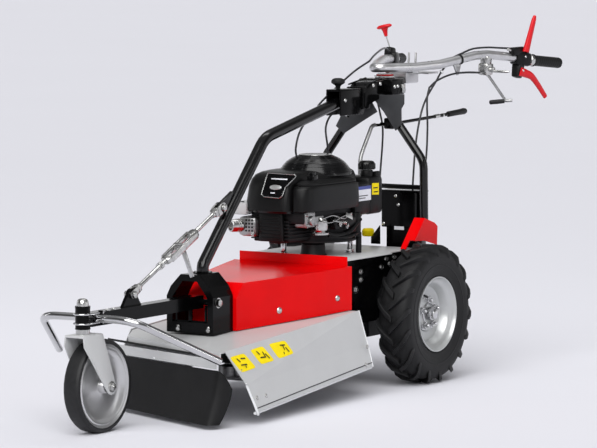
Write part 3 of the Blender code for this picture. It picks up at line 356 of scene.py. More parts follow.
def soften(data, angle=35):
    """Shade smooth, with sharp edges above the angle."""
    data.polygons.foreach_set("use_smooth", [True] * len(data.polygons))
    data.set_sharp_from_angle(angle=math.radians(angle))


def emit(name, pieces, mat, body="chassis", stands_for=(), angle=35):
    """One finished piece made of several solids, riding on a body."""
    pieces = pieces if isinstance(pieces, list) else [pieces]
    whole = bmesh.new()
    for piece in pieces:
        part = bpy.data.meshes.new("part")
        piece.to_mesh(part)
        piece.free()
        whole.from_mesh(part)
        bpy.data.meshes.remove(part)
    bmesh.ops.translate(whole, vec=(0, SHIFT, 0), verts=whole.verts[:])
    data = bpy.data.meshes.new(name)
    whole.to_mesh(data)
    whole.free()
    soften(data, angle)
    data.materials.append(mat)
    obj = bpy.data.objects.new(name, data)
    SCENE.collection.objects.link(obj)
    if body:
        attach(obj, body)
    if stands_for:
        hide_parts(*stands_for)
    return obj


def paint(mat, *names):
    """A carried-over solid takes a finish."""
    for name in names:
        data = NODES[name].data
        data.materials.clear()
        data.materials.append(mat)
        soften(data)


# ---------------------------------------------------------------- wheels

def lug(side, turn, hub):
    """One bar of the chevron tread, from the middle of the tread over the shoulder and down the wall."""
    stations = [(-0.005, 0.2045, 0.184, 0, 0.0085), (0.02, 0.2045, 0.184, 6, 0.008),
                (0.037, 0.2035, 0.182, 11, 0.0078),
                (0.0475, 0.1975, 0.178, 15, 0.0078), (0.052, 0.183, 0.17, 18, 0.0072),
                (0.0522, 0.17, 0.16, 19, 0.006)]
    rings = []
    for i, (x, top, low, swing, half) in enumerate(stations):
        angle = math.radians(turn + swing)
        ring = []
        for r, spread, deep in ((top, -1, 0), (top, 1, 0), (low, 1.25, 1), (low, -1.25, 1)):
            a = angle + spread * half / r
            px = (x - 0.012 * deep * max(0, i - 2) / 3) * side
            ring.append(Vector((hub[0] + px, hub[1] + r * math.sin(a), hub[2] + r * math.cos(a))))
        rings.append(ring if side > 0 else ring[::-1])
    return loft(rings, 0.0012, 1)


def drive_wheel(side, name):
    """Lugged tyre, dished rim, hub with five nuts, and the stub of the axle."""
    hub, out = (side * AXLE_X, 0, AXLE_Z), (side, 0, 0)
    body = f"{name}_wheel"
    wall = [(0.15, 0.05), (0.165, 0.0515), (0.176, 0.05), (0.186, 0.044), (0.1915, 0.034), (0.1935, 0.018)]
    inner = [(0.112, 0.043), (0.12, 0.0455), (0.124, 0.045), (0.132, 0.0478)]
    half = inner + wall
    section = half + [(0.194, 0.0)] + [(r, -x) for r, x in reversed(half)] + [(0.1083, -0.04),
                                                                              (0.1083, 0.04)]
    emit(f"{name}_tyre_carcass", turned(section, hub, out, 72, closed=True), TYRE, body, [f"{name}_tyre"])
    lugs = [lug(s, i * 20 + (0 if s > 0 else 10), hub) for s in (1, -1) for i in range(18)]
    emit(f"{name}_tyre_lugs", lugs, TYRE, body, angle=30)
    rib = turned([(0.1425, 0.049), (0.145, 0.0505), (0.1475, 0.0505), (0.15, 0.0492)], hub, out, 64)
    emit(f"{name}_tyre_rib", rib, TYRE, body)
    dish = [(0.0, 0.012), (0.034, 0.012), (0.05, 0.01), (0.054, 0.004), (0.074, 0.003), (0.08, 0.006),
            (0.088, 0.026),
            (0.091, 0.031), (0.097, 0.034), (0.102, 0.037), (0.105, 0.043), (0.1075, 0.0465),
            (0.1105, 0.0465),
            (0.1105, 0.0445), (0.108, 0.038), (0.108, -0.038), (0.1095, -0.045), (0.106, -0.045),
            (0.1, -0.034),
            (0.088, -0.024), (0.078, -0.004), (0.054, -0.004), (0.0, -0.004)]
    emit(f"{name}_rim_dish", turned(dish, hub, out, 72), RIM, body, [f"{name}_rim"])
    cap = turned([(0.0, 0.042), (0.01, 0.0415), (0.015, 0.038), (0.0165, 0.03), (0.019, 0.029),
                  (0.02, 0.012),
                  (0.0, 0.011)], hub, out, 32)
    flange = turned([(0.03, 0.0165), (0.0325, 0.015), (0.0325, 0.01), (0.0, 0.01), (0.0, 0.0165)], hub,
                    out, 40)
    pieces = [cap, flange]
    for i in range(5):
        a = math.radians(72 * i + 20)
        spot = Vector(hub) + Vector((side * 0.009, 0.04 * math.cos(a), 0.04 * math.sin(a)))
        pieces += [hexnut(spot, out, 0.0105, 0.011), turned([(0.0, 0.021), (0.004, 0.02), (0.006, 0.016),
                                                             (0.006, 0.0),
                   (0.0, 0.0)], spot, out, 16), rod(spot - Vector(out) * 0.001, spot + Vector(out) * 0.002,
                                                    0.0135)]
    emit(f"{name}_hub_nuts", pieces, CHROME, body)
    stub = turned([(0.0, -0.063), (0.015, -0.063), (0.015, -0.05), (0.036, -0.048), (0.04, -0.004),
                   (0.0, -0.003)],
                  hub, out, 32)
    emit(f"{name}_hub_stub", stub, CAST, body)
    valve = Vector(hub) + Vector((side * 0.03, -0.062, 0.062))
    emit(f"{name}_valve", rod(valve, valve + Vector((side * 0.014, 0.008, -0.008)), 0.003), GRIP, body)


def caster():
    """The front wheel with its disc, the pressed fork and the stem."""
    hub = CASTER_HUB
    half = 0.0245
    tread = [(0.1132, half - 0.0005), (0.118, half), (0.1225, half - 0.001), (0.1252, half - 0.005),
             (0.126, half - 0.01)]
    section = tread + [(r, -x) for r, x in reversed(tread)] + [(0.1132, 0.0)]
    emit("caster_solid_tyre", turned(section, hub, (1, 0, 0), 96, closed=True), BLOCK, "caster_wheel",
         ["caster_tyre"])
    face = [(0.0075, 0.03), (0.016, 0.03), (0.0185, 0.027), (0.02, 0.013), (0.028, 0.0105), (0.05, 0.0085),
            (0.07, 0.0082), (0.086, 0.0105), (0.095, 0.0165), (0.0985, 0.0205), (0.1025, 0.0215),
            (0.1055, 0.0195),
            (0.1085, 0.0215), (0.1128, 0.0228)]
    disc = turned(face + [(r, -x) for r, x in reversed(face)], hub, (1, 0, 0), 96, closed=True)
    emit("caster_disc", disc, POLISH, "caster_wheel", ["caster_rim"])
    y, z = SLEEVE_Y, 0.27
    crown = box((-0.031, y - 0.039, z - 0.007), (0.031, y + 0.049, z), 0.0025)
    outline = [(y + 0.049, z - 0.001), (y - 0.039, z - 0.001), (y - 0.039, z - 0.03)]
    foot = [(hub[1] + 0.022 * math.cos(a), hub[2] + 0.022 * math.sin(a))
            for a in (math.radians(-150 + 15 * i) for i in range(13))]
    arms = []
    for side in (1, -1):
        arm = prism(outline + foot, 0.0, 0.0042, "X", 0.0009)
        for vert in arm.verts:
            vert.co.x += 0.027 + 0.014 * (z - vert.co.z) / (z - hub[2])
        arms.append(flip(arm) if side < 0 else arm)
    emit("caster_fork_sheet", [crown] + arms, GREY, "fork", ["caster_fork"])
    head = turned([(0.0, 0.366), (0.007, 0.3655), (0.012, 0.3635), (0.015, 0.359), (0.016, 0.353),
                   (0.0165, 0.346),
                   (0.0165, 0.3453), (0.011, 0.3453), (0.011, 0.2835), (0.0185, 0.2835), (0.019, 0.27),
                   (0.0, 0.27)],
                  (0, y, 0), steps=40)
    emit("caster_stem", head, ZINC, "fork")
    ends = []
    for s in (1, -1):
        spot = Vector((s * 0.0452, hub[1], hub[2]))
        ends += [rod(spot, spot + Vector((s * 0.0015, 0, 0)), 0.015),
                 hexnut(spot + Vector((s * 0.0012, 0, 0)),
                 (s, 0, 0), 0.0105, 0.007), rod(spot, spot + Vector((s * 0.012, 0, 0)), 0.005)]
    ends.append(rod((-0.045, hub[1], hub[2]), (0.045, hub[1], hub[2]), 0.0055))
    emit("caster_axle_ends", ends, ZINC, "fork")


# ---------------------------------------------------------------- front beam, bumper and adjuster

UPPER, LOWER = Vector((0, -0.742, 0.56)), Vector((0, -1.184, 0.356))


def share(t):
    """A point part of the way along the adjuster."""
    return UPPER.lerp(LOWER, t)


def clevis(place, towards, size=1.0):
    """A forked end with its pin, washer and nut."""
    axis = Vector(towards).normalized()
    across = (0, axis.z, -axis.y)
    pieces = []
    for s in (1, -1):
        start = Vector(place) + Vector((s * 0.0085, 0, 0))
        pieces.append(bar(start, start + axis * 0.03, 0.022 * size, 0.005, 0.019 * size, across))
        pieces.append(turned([(0.0, 0.0025), (0.0105 * size, 0.0025), (0.011 * size, 0.002),
                              (0.011 * size, -0.002),
                              (0.0105 * size, -0.0025), (0.0, -0.0025)], start, (1, 0, 0), 24))
    pieces.append(bar(place + axis * 0.024, place + axis * 0.042, 0.0205 * size, 0.022, 0.018, across,
                      0.003))
    pieces.append(rod(place + axis * 0.036, place + axis * 0.05, 0.01, 0.0075, bevel=0.0008))
    pieces.append(rod(place - Vector((0.0175, 0, 0)), place + Vector((0.0165, 0, 0)), 0.0059, bevel=0.001))
    pieces.append(turned([(0.0, 0.02), (0.006, 0.0195), (0.0095, 0.0175), (0.01, 0.0145), (0.01, 0.012),
                          (0.0, 0.012)],
                         place, (1, 0, 0), 24))
    pieces.append(hexnut(place - Vector((0.011, 0, 0)), (-1, 0, 0), 0.0095, 0.006))
    return pieces


def threads(start, end, radius, pitch=0.0022):
    """A threaded length as a stack of small ridges."""
    start, end = Vector(start), Vector(end)
    count = int((end - start).length / pitch)
    profile = [(0.0, 0.0)]
    for i in range(count):
        profile += [(radius - 0.0008, i * pitch), (radius, (i + 0.5) * pitch)]
    profile += [(radius - 0.0008, count * pitch), (0.0, count * pitch)]
    return turned(profile, start, end - start, 16)


def adjuster():
    """The turnbuckle: two clevises, threaded rods, open sleeve and tommy bar."""
    down = LOWER - UPPER
    axis = down.normalized()
    emit("adjuster_upper_clevis", clevis(UPPER, down, 1.35) + [rod(share(0.06), share(0.345), 0.0062),
         threads(share(0.235), share(0.33), 0.0066)], ZINC, "adjuster_upper", ["adjuster_upper_rod"])
    emit("adjuster_lower_clevis", clevis(LOWER, -down) + [rod(share(0.94), share(0.56), 0.0062),
         threads(share(0.8), share(0.57), 0.0066), hexnut(share(0.662), axis, 0.0115, 0.0095),
         rod(share(0.683), share(0.692), 0.0105)], ZINC, "adjuster_lower", ["adjuster_lower_rod"])
    rails = []
    for s in (1, -1):
        rails.append(bar(share(0.318) + Vector((s * 0.015, 0, 0)),
                         share(0.602) + Vector((s * 0.015, 0, 0)), 0.0078, 0.018,
                         across=(1, 0, 0), bevel=0.002))
    for a, b, c in ((0.29, 0.306, 0.33), (0.63, 0.614, 0.59)):
        rails.append(loft([[share(t) + Vector((x * w, 0, 0)) + axis.cross(Vector((1, 0, 0))) * (y * h)
                            for x, y in ((1, .55), (.55, 1), (-.55, 1), (-1, .55), (-1, -.55), (-.55, -1),
                                         (.55, -1), (1, -.55))]
                           for t, w, h in ((a, 0.0105, 0.009), (b, 0.0165, 0.01), (c, 0.019, 0.01))],
                          0.0005, 1))
    rails.append(bar(share(0.449), share(0.468), 0.038, 0.02, across=(1, 0, 0), bevel=0.0015))
    emit("adjuster_sleeve_body", rails, ZINC, "sleeve", ["adjuster_sleeve"])
    middle = share(0.458)
    handle = [bar(middle + Vector((0.006, 0.004, -0.008)), middle + Vector((0.04, 0.0, -0.083)), 0.015,
                  0.005, 0.013,
                  (1, 0, 0), 0.0018)]
    emit("adjuster_sleeve_handle", handle, SATIN, "sleeve")


def beam():
    """The beam's sleeve, the bumper tube and the U-bolts that hold it."""
    paint(BLACK, "front_beam")
    y = SLEEVE_Y
    bands = []
    for z in (0.2985, 0.3245):
        arc = [Vector((0.0235 * math.sin(a), y - 0.0235 * math.cos(a),
                       z)) for a in (math.radians(-90 + 10 * i) for i in range(19))]
        ends = [Vector((s * 0.0235, y + 0.062, z)) for s in (-1, 1)]
        bands.append(sweep([ends[0]] + arc + [ends[1]], 0.0026, 12))
        bands += [hexnut((s * 0.0235, y + 0.052, z), (0, 1, 0), 0.0062, 0.005) for s in (-1, 1)]
    emit("bumper_clamp", bands, CHROME, "beam")
    pad = [box((s * 0.0235 - 0.0065, y + 0.047, 0.292), (s * 0.0235 + 0.0065, y + 0.0515, 0.331),
               0.001) for s in (-1, 1)]
    emit("bumper_clamp_pads", pad, BLACK, "beam")
    emit("beam_sleeve_rings", [turned([(0.0205, 0.3455), (0.0205, 0.34), (0.02, 0.3395), (0.02, 0.287),
         (0.0207, 0.2865), (0.0207, 0.2838)], (0, y, 0), steps=40)], BLACK, "beam")
    lugs = [*bolt((0.01, y + 0.1, 0.3255), (0, 0, 1), 0.005),
            *bolt((0.01, y + 0.128, 0.3255), (0, 0, 1), 0.005)]
    emit("beam_bolts", lugs, ZINC, "beam")
    reach = [Vector((0.264, -1.148, 0.187)), Vector((0.15, -1.388, 0.312)), Vector((0.04, -1.3765, 0.3115))]
    path = reach + [Vector((-p.x, p.y, p.z)) for p in reversed(reach)]
    emit("bumper_tube", tube(path, 0.0104, 0.09, 20, 12), CHROME, "beam", ["bumper_bar"])


# ---------------------------------------------------------------- deck

GUARD = {"top": (Vector((0.2235, -0.366, 0.2475)), Vector((0.244, -1.094, 0.2065))),
         "crease": (Vector((0.243, -0.348, 0.145)), Vector((0.275, -1.035, 0.111))),
         "low": (Vector((0.256, -0.342, 0.088)), Vector((0.293, -1.008, 0.037)))}


def label_marks(corners, seed):
    """Small dark generic strokes on a label."""
    a, b, c, d = [Vector(p) for p in corners]
    strokes = []
    layout = [((.18, .30), (.42, .36)), ((.24, .52), (.30, .80)), ((.30, .66), (.62, .60)),
              ((.60, .25), (.66, .62)),
              ((.70, .48), (.84, .44)), ((.46, .74), (.80, .78))]
    for k, ((u0, v0), (u1, v1)) in enumerate(layout):
        if (k + seed) % 3 == 2:
            continue

        def spot(u, v):
            return a * (1 - u) * (1 - v) + b * u * (1 - v) + c * u * v + d * (1 - u) * v
        start, end = spot(u0, v0), spot(u1, v1)
        up = (b - a).cross(c - a).normalized()
        along = (end - start).normalized()
        side = up.cross(along) * 0.0016
        strokes.append(plate([start - side, end - side, end + side, start + side], 0.0002, 0.0022))
    return strokes


def guard_trim():
    """Painted sheets of deck and platform, with the left guard's edges, bolts and labels."""
    top_r, top_f = GUARD["top"]
    crease_r, crease_f = GUARD["crease"]
    low_r, low_f = GUARD["low"]
    paint(GREY, "deck_plate", "guard_left", "guard_right", "flap_strip")
    plan = [(-0.183, -0.36), (0.183, -0.36), (0.183, -0.11), (0.166, -0.095),
            (0.166, 0.055), (-0.166, 0.055), (-0.166, -0.095), (-0.183, -0.11)]
    emit("platform_sheet", prism(plan, 0.386, 0.39, "Z", 0.001), GREY, stands_for=["engine_platform"])
    front = [crease_f + Vector((0.003, -0.003, 0)), low_f + Vector((0.003, -0.004, 0)),
             low_f + Vector((-0.01, 0.012, -0.006))]
    hem = sweep(smooth_path([front[0]] + front, 8), 0.0035, 10)
    under = sweep([low_f + Vector((-0.006, -0.002, -0.004)), low_r + Vector((-0.006, 0.002, -0.004))],
                  0.0045, 10)
    rear = sweep([top_r + Vector((0.001, 0, 0)), crease_r + Vector((0.002, 0, 0)),
                  low_r + Vector((0.002, 0, -0.002))], 0.0018, 8)
    emit("guard_hem", [hem, under, rear], HEM)
    # A dark grey line along the guard's groove, 1 cm above its low edge: painted shade in the groove.
    lift = 0.01
    a, b = low_r.lerp(crease_r, lift / 0.06), low_f.lerp(crease_f, lift / 0.08)
    groove = sweep([a + Vector((0.0012, 0, 0)), b + Vector((0.0012, 0, 0))], 0.0016, 8)
    emit("guard_groove_shade", groove, GUSSET_AND_GROOVE_SHADE)
    out = (crease_f - crease_r).cross(low_r - crease_r).normalized()
    out = out if out.x > 0 else -out
    out_up = (top_f - top_r).cross(crease_r - top_r).normalized()
    out_up = out_up if out_up.x > 0 else -out_up
    heads = []
    for spot in ((0.2569, -0.3806, 0.0951), (0.2833, -0.9961, 0.0736), (0.2817, -0.9485, 0.0734)):
        heads += bolt(Vector(spot) + out * 0.001, out, 0.0045, 0.003)
    for spot in ((0.257, -0.3756, 0.1463), (0.26, -1.04, 0.15)):
        heads += bolt(Vector(spot) + out_up * 0.001, out_up, 0.0045, 0.003)
    emit("guard_bolts", heads, ZINC)
    stickers = [[(0.2492, -1.0802, 0.1904), (0.2474, -1.0077, 0.1937), (0.2611, -0.967, 0.1512),
                 (0.2636, -1.0422, 0.1457)],
                [(0.2455, -0.9734, 0.1984), (0.2435, -0.9088, 0.2028), (0.2572, -0.868, 0.16),
                 (0.2591, -0.9383, 0.1565)],
                [(0.2425, -0.8759, 0.2048), (0.2412, -0.7904, 0.2062), (0.2535, -0.7624, 0.1682),
                 (0.2564, -0.8437, 0.1618)]]
    marks = []
    films = []
    for k, corners in enumerate(stickers):
        corners = [Vector(c) + out_up * 0.0014 for c in corners]
        if (corners[1] - corners[0]).cross(corners[2] - corners[0]).dot(out_up) < 0:
            corners = [corners[0], corners[3], corners[2], corners[1]]
        films.append(plate(rounded(corners, 0.18), 0.0006, 0.0))
        marks += label_marks(corners, k)
    emit("guard_labels", films, YELLOW)
    emit("guard_label_marks", marks, INK_AND_GAP_SHADE)


def rounded(corners, share_of_edge):
    """A polygon whose corners are cut twice."""
    points = []
    count = len(corners)
    for i, corner in enumerate(corners):
        before, after = corners[i - 1], corners[(i + 1) % count]
        points += [corner.lerp(before, share_of_edge), corner.lerp(before, share_of_edge * 0.35).lerp(
            corner.lerp(after, share_of_edge * 0.35), 0.5), corner.lerp(after, share_of_edge)]
    return points


def deck_details():
    """The clip at the deck's front edge, and a black strip of painted shade in the gap along its seam."""
    left, right = STRIP_LEFT, STRIP_RIGHT
    along = (right - left).normalized()
    ahead = Vector((along.y, -along.x, 0))
    ahead = -ahead if ahead.y > 0 else ahead
    base = left + ahead * 0.012
    clip = base.lerp(right + ahead * 0.012, 0.555) + Vector((0, 0, 0.174))
    emit("strip_clip", [bar(clip - Vector((0, 0, 0.01)), clip + Vector((0.01, 0.006, 0.012)), 0.01, 0.004,
                            0.006, along)], HEM)
    # A thin black plate just in front of the strip's top edge: painted shade in the gap between the strip
    # and the deck plate.
    gap = plate([left + ahead * 0.0045 + Vector((0, 0, 0.1885)),
                 left + ahead * 0.0045 + Vector((0, 0, 0.1945)),
                 right + ahead * 0.0045 + Vector((0, 0, 0.1995)),
                 right + ahead * 0.0045 + Vector((0, 0, 0.1935))], 0.0008)
    emit("deck_front_gap_shade", gap, INK_AND_GAP_SHADE)


def flap():
    """The rubber sheet: flat where it is clamped, and pushed forward at its lower edge."""
    left, right = STRIP_LEFT, STRIP_RIGHT
    along = (left - right).normalized()
    ahead = Vector((along.y, -along.x, 0))
    ahead = -ahead if ahead.y > 0 else ahead
    set_off = ahead * 0.0033
    plan = [(right, 0.156, 0.004), (right.lerp(left, 0.25), 0.156, 0.012),
            (right.lerp(left, 0.5), 0.156, 0.024),
            (right.lerp(left, 0.75), 0.156, 0.036), (right.lerp(left, 0.93), 0.156, 0.044),
            (left, 0.156, 0.044),
            (left + Vector((0.014, 0.004, 0)), 0.146, 0.046), (Vector((0.262, -1.097, 0)), 0.126, 0.046),
            (Vector((0.2675, -1.088, 0)), 0.106, 0.044)]
    spots = smooth_path([Vector((p.x, p.y, t)) for p, t, b in plan], 5)
    bulge = smooth_path([Vector((b, 0, 0)) for p, t, b in plan], 5)
    rows = 12
    front, back = [], []
    for spot, out in zip(spots, bulge):
        place, top = Vector((spot.x, spot.y, 0)) + set_off, spot.z
        column = []
        for k in range(rows + 1):
            v = k / rows
            push = out.x * (v ** 1.6)
            column.append(place + ahead * push + Vector((0, 0, top + (0.013 - top) * v)))
        front.append([p + ahead * 0.005 for p in column])
        back.append(column)
    bm = bmesh.new()
    grid = [[[bm.verts.new(p) for p in column] for column in face] for face in (front, back)]
    wide, tall = len(spots), rows + 1
    for face, order in ((grid[0], 1), (grid[1], -1)):
        for i in range(wide - 1):
            for j in range(tall - 1):
                bm.faces.new([face[i][j], face[i + 1][j], face[i + 1][j + 1], face[i][j + 1]][::order])
    for i in range(wide - 1):
        for j in (0, tall - 1):
            bm.faces.new([grid[0][i][j], grid[0][i + 1][j], grid[1][i + 1][j], grid[1][i][j]])
    for j in range(tall - 1):
        for i in (0, wide - 1):
            bm.faces.new([grid[0][i][j], grid[0][i][j + 1], grid[1][i][j + 1], grid[1][i][j]])
    emit("flap_sheet", outward(bm), MAT, "flap", ["front_flap"], 50)


def bracket_and_cover():
    """Bolts and ribs of the front bracket, and the fixings of the belt cover."""
    paint(BLACK, "front_bracket")
    paint(RED, "belt_cover", "platform_lip", "fender_left", "fender_right")
    heads = []
    for x in (-0.0359, 0.064):
        heads += [rod((x, -0.8985, 0.233), (x, -0.905, 0.233), 0.006, bevel=0.001),
                  rod((x, -0.901, 0.228), (x, -0.901, 0.244), 0.0042, bevel=0.001)]
    emit("bracket_bolts", heads, ZINC)
    heads = []
    for s in (1, -1):
        heads += [rod((s * 0.077, -0.872, 0.308), (s * 0.0785, -0.872, 0.308), 0.0145),
                  hexnut((s * 0.078, -0.872, 0.308), (s, 0, 0), 0.0105, 0.0075)]
    emit("beam_pivot_bolt_heads", heads, ZINC)
    foot = turned([(0.027, 0.387), (0.027, 0.3856), (0.0, 0.3856), (0.0, 0.389), (0.025, 0.389)], ARCH_FOOT)
    emit("arch_foot_collar", foot, BLACK)
    inside = [box((-0.05, -0.894, 0.245), (-0.044, -0.889, 0.3), 0.0008),
              box((-0.007, -0.894, 0.225), (0.004, -0.889, 0.29), 0.0008),
              box((0.046, -0.894, 0.245), (0.052, -0.889, 0.3), 0.0008),
              box((-0.056, -0.894, 0.225), (0.056, -0.889, 0.257), 0.0008)]
    emit("bracket_front_ribs", inside, BLACK)
    normal = Vector((0.3165, -0.087, 0)).normalized()
    heads = [dome(Vector((0.1304, -0.6422, 0.2686)) + normal * 0.0012, normal, 0.0095, 0.005)]
    rear_normal = Vector((0.1155, -0.025, 0)).normalized()
    heads += [dome(Vector((0.1874, -0.4227, 0.286)) + rear_normal * 0.0012, rear_normal, 0.0085, 0.0045)]
    heads += [flip(dome(Vector((0.1304, -0.6422, 0.2686)) + normal * 0.0012, normal, 0.0095, 0.005))]
    heads += [dome((-0.04, -0.7, 0.3612), (0, -0.035, 1), 0.0045, 0.002)]
    emit("cover_bolts", heads, ZINC)
    paint(CAST, "spindle_housing")
    paint(STEEL, "blade_spindle", "cutter_blade", "crank_pulley")
    paint(MAT, "drive_belt")


# ---------------------------------------------------------------- engine

def scaled(outline, z, factor, centre, push=(0, 0)):
    """An outline at a height, scaled about a centre."""
    return [Vector((centre[0] + (x - centre[0]) * factor + push[0],
                    centre[1] + (y - centre[1]) * factor + push[1], z))
            for x, y in outline]


def rounded_plan(points, times=2):
    """An outline with its corners cut, the given number of times."""
    for _ in range(times):
        cut = []
        for (ax, ay), (bx, by) in zip(points, points[1:] + points[:1]):
            cut += [(ax * 0.78 + bx * 0.22, ay * 0.78 + by * 0.22),
                    (ax * 0.22 + bx * 0.78, ay * 0.22 + by * 0.78)]
        points = cut
    return points


def body_of_rings(plan, rings, centre):
    """A moulded body lofted through scaled outlines."""
    return loft([scaled(plan, z, f, centre, push) for z, f, push in rings])


def engine():
    """Hood, air filter, recoil cover and badge."""
    plan = rounded_plan([(-0.118, -0.12), (-0.132, -0.3), (-0.11, -0.43), (-0.078, -0.492), (0.052, -0.494),
                         (0.066, -0.47), (0.062, -0.37), (0.1, -0.31), (0.104, -0.14), (-0.012, -0.102)])
    rings = [(0.5305, 0.99, (0, 0)), (0.531, 1.0, (0, 0)), (0.56, 0.995, (0, 0)), (0.6, 0.965, (0, 0.003)),
             (0.618, 0.935, (0, 0.007)), (0.63, 0.885, (0, 0.011)), (0.6365, 0.8, (0, 0.016)),
             (0.639, 0.66, (0, 0.02))]
    emit("engine_hood", body_of_rings(plan, rings, (-0.005, -0.29)), PLASTIC, stands_for=["engine_shroud"],
         angle=60)
    seam = body_of_rings(plan, [(0.525, 0.97, (0, 0)), (0.5315, 0.985, (0, 0))], (-0.005, -0.29))
    emit("engine_hood_rim", seam, GLOSSY)
    fplan = rounded_plan([(0.058, -0.372), (0.058, -0.452), (0.07, -0.478), (0.104, -0.47), (0.121, -0.44),
                          (0.131, -0.22), (0.124, -0.196), (0.104, -0.196), (0.1, -0.303)])
    frings = [(0.53, 0.98, (0, 0)), (0.5312, 1.0, (0, 0)), (0.56, 1.0, (0, 0)), (0.592, 0.985, (0, 0)),
              (0.601, 0.95, (0, 0)), (0.6045, 0.88, (0, 0))]
    emit("air_filter_case", body_of_rings(fplan, frings, (0.095, -0.33)), PLASTIC,
         stands_for=["air_filter"], angle=60)
    lid = [(0.605, 0.9, (0, 0)), (0.609, 0.9, (0, 0)), (0.615, 0.8, (-0.006, 0.01)),
           (0.618, 0.55, (-0.01, 0.02))]
    emit("air_filter_lid", body_of_rings(fplan, lid, (0.095, -0.33)), PLASTIC, angle=60)
    latch = [box((0.07, -0.4, 0.606), (0.095, -0.375, 0.632), 0.004),
             box((0.075, -0.396, 0.628), (0.09, -0.379, 0.64), 0.003)]
    emit("air_filter_latch", latch, GLOSSY)
    # recoil cover with ring grooves
    crown = [(0.0485, 0.678), (0.055, 0.6755), (0.07, 0.669), (0.085, 0.659), (0.098, 0.644),
             (0.105, 0.633)]
    profile = [(0.0, 0.6795), (0.044, 0.6795), (0.0475, 0.679)]
    count = 10
    for i in range(count):
        t = 0.0485 + (0.105 - 0.0485) * i / count
        for shift, drop in ((0.0, 0.0), (0.0034, 0.0), (0.004, 0.0014), (0.0052, 0.0014)):
            r = t + shift
            (r0, z0), (r1, z1) = next((p, q) for p, q in zip(crown, crown[1:]) if r <= q[0] + 1e-9)
            profile.append((r, z0 + (z1 - z0) * (r - r0) / (r1 - r0) - drop))
    profile += [(0.106, 0.632), (0.1075, 0.629), (0.1075, 0.6225), (0.0, 0.6225)]
    emit("recoil_dome", turned(profile, CRANK_AXIS, steps=72), GLOSSY, stands_for=["recoil_cover"],
         angle=28)
    rim = turned([(0.04, 0.6797), (0.0455, 0.6803), (0.048, 0.68), (0.0492, 0.6785)], CRANK_AXIS, steps=64)
    emit("recoil_top_ring", rim, ZINC)
    # plain badge on the leaning front of the hood
    badge = [Vector(p) for p in ((-0.0238, -0.4572, 0.6365), (-0.0272, -0.4647, 0.6149),
                                 (-0.0326, -0.4775, 0.5764),
                                 (-0.0231, -0.4797, 0.57), (0.029, -0.4804, 0.5678),
                                 (0.0383, -0.478, 0.5749),
                                 (0.0439, -0.4697, 0.5998), (0.0745, -0.4592, 0.6315),
                                 (0.0634, -0.4578, 0.635))]
    up = Vector((0, -0.9487, 0.3162))
    out = up * 0.0125 + Vector((0.0082, 0, -0.0025))
    badge = [p + out for p in badge]
    emit("hood_badge", plate(badge, 0.012, -0.009), GLOSSY)
    edge = [p + up * 0.0032 for p in badge]
    half = edge[0].lerp(edge[1], 0.5)
    emit("hood_badge_outline", sweep(bent([half] + edge[1:] + [edge[0], half], 0.004, 4), 0.0013, 8), ZINC)
    emblem = turned([(0.0, 0.0012), (0.0105, 0.001), (0.012, 0.0), (0.0, 0.0)], (0, 0, 0), (0, 0, 1), 32)
    spot = Vector((0.0102, -0.4705, 0.5975)) + out + up * 0.0031
    bmesh.ops.transform(emblem, matrix=aim(up, spot) @ Matrix.Diagonal((1.65, 0.6, 1, 1)),
                        verts=emblem.verts[:])
    emit("hood_badge_emblem", emblem, RIM)
    marks = []
    for low, high, z in ((-0.008, 0.046, 0.621), (-0.003, 0.012, 0.5815)):
        y = -0.4627 - (0.621 - z) * 0.333
        ends = [Vector((x, y, z)) + out for x in (low, high)]
        lift = Vector((0, 0.0005, 0.0016))
        marks.append(plate([ends[0] - lift, ends[1] - lift, ends[1] + lift, ends[0] + lift], 0.0004,
                           0.0032))
    emit("hood_badge_marks", marks, WHITE)


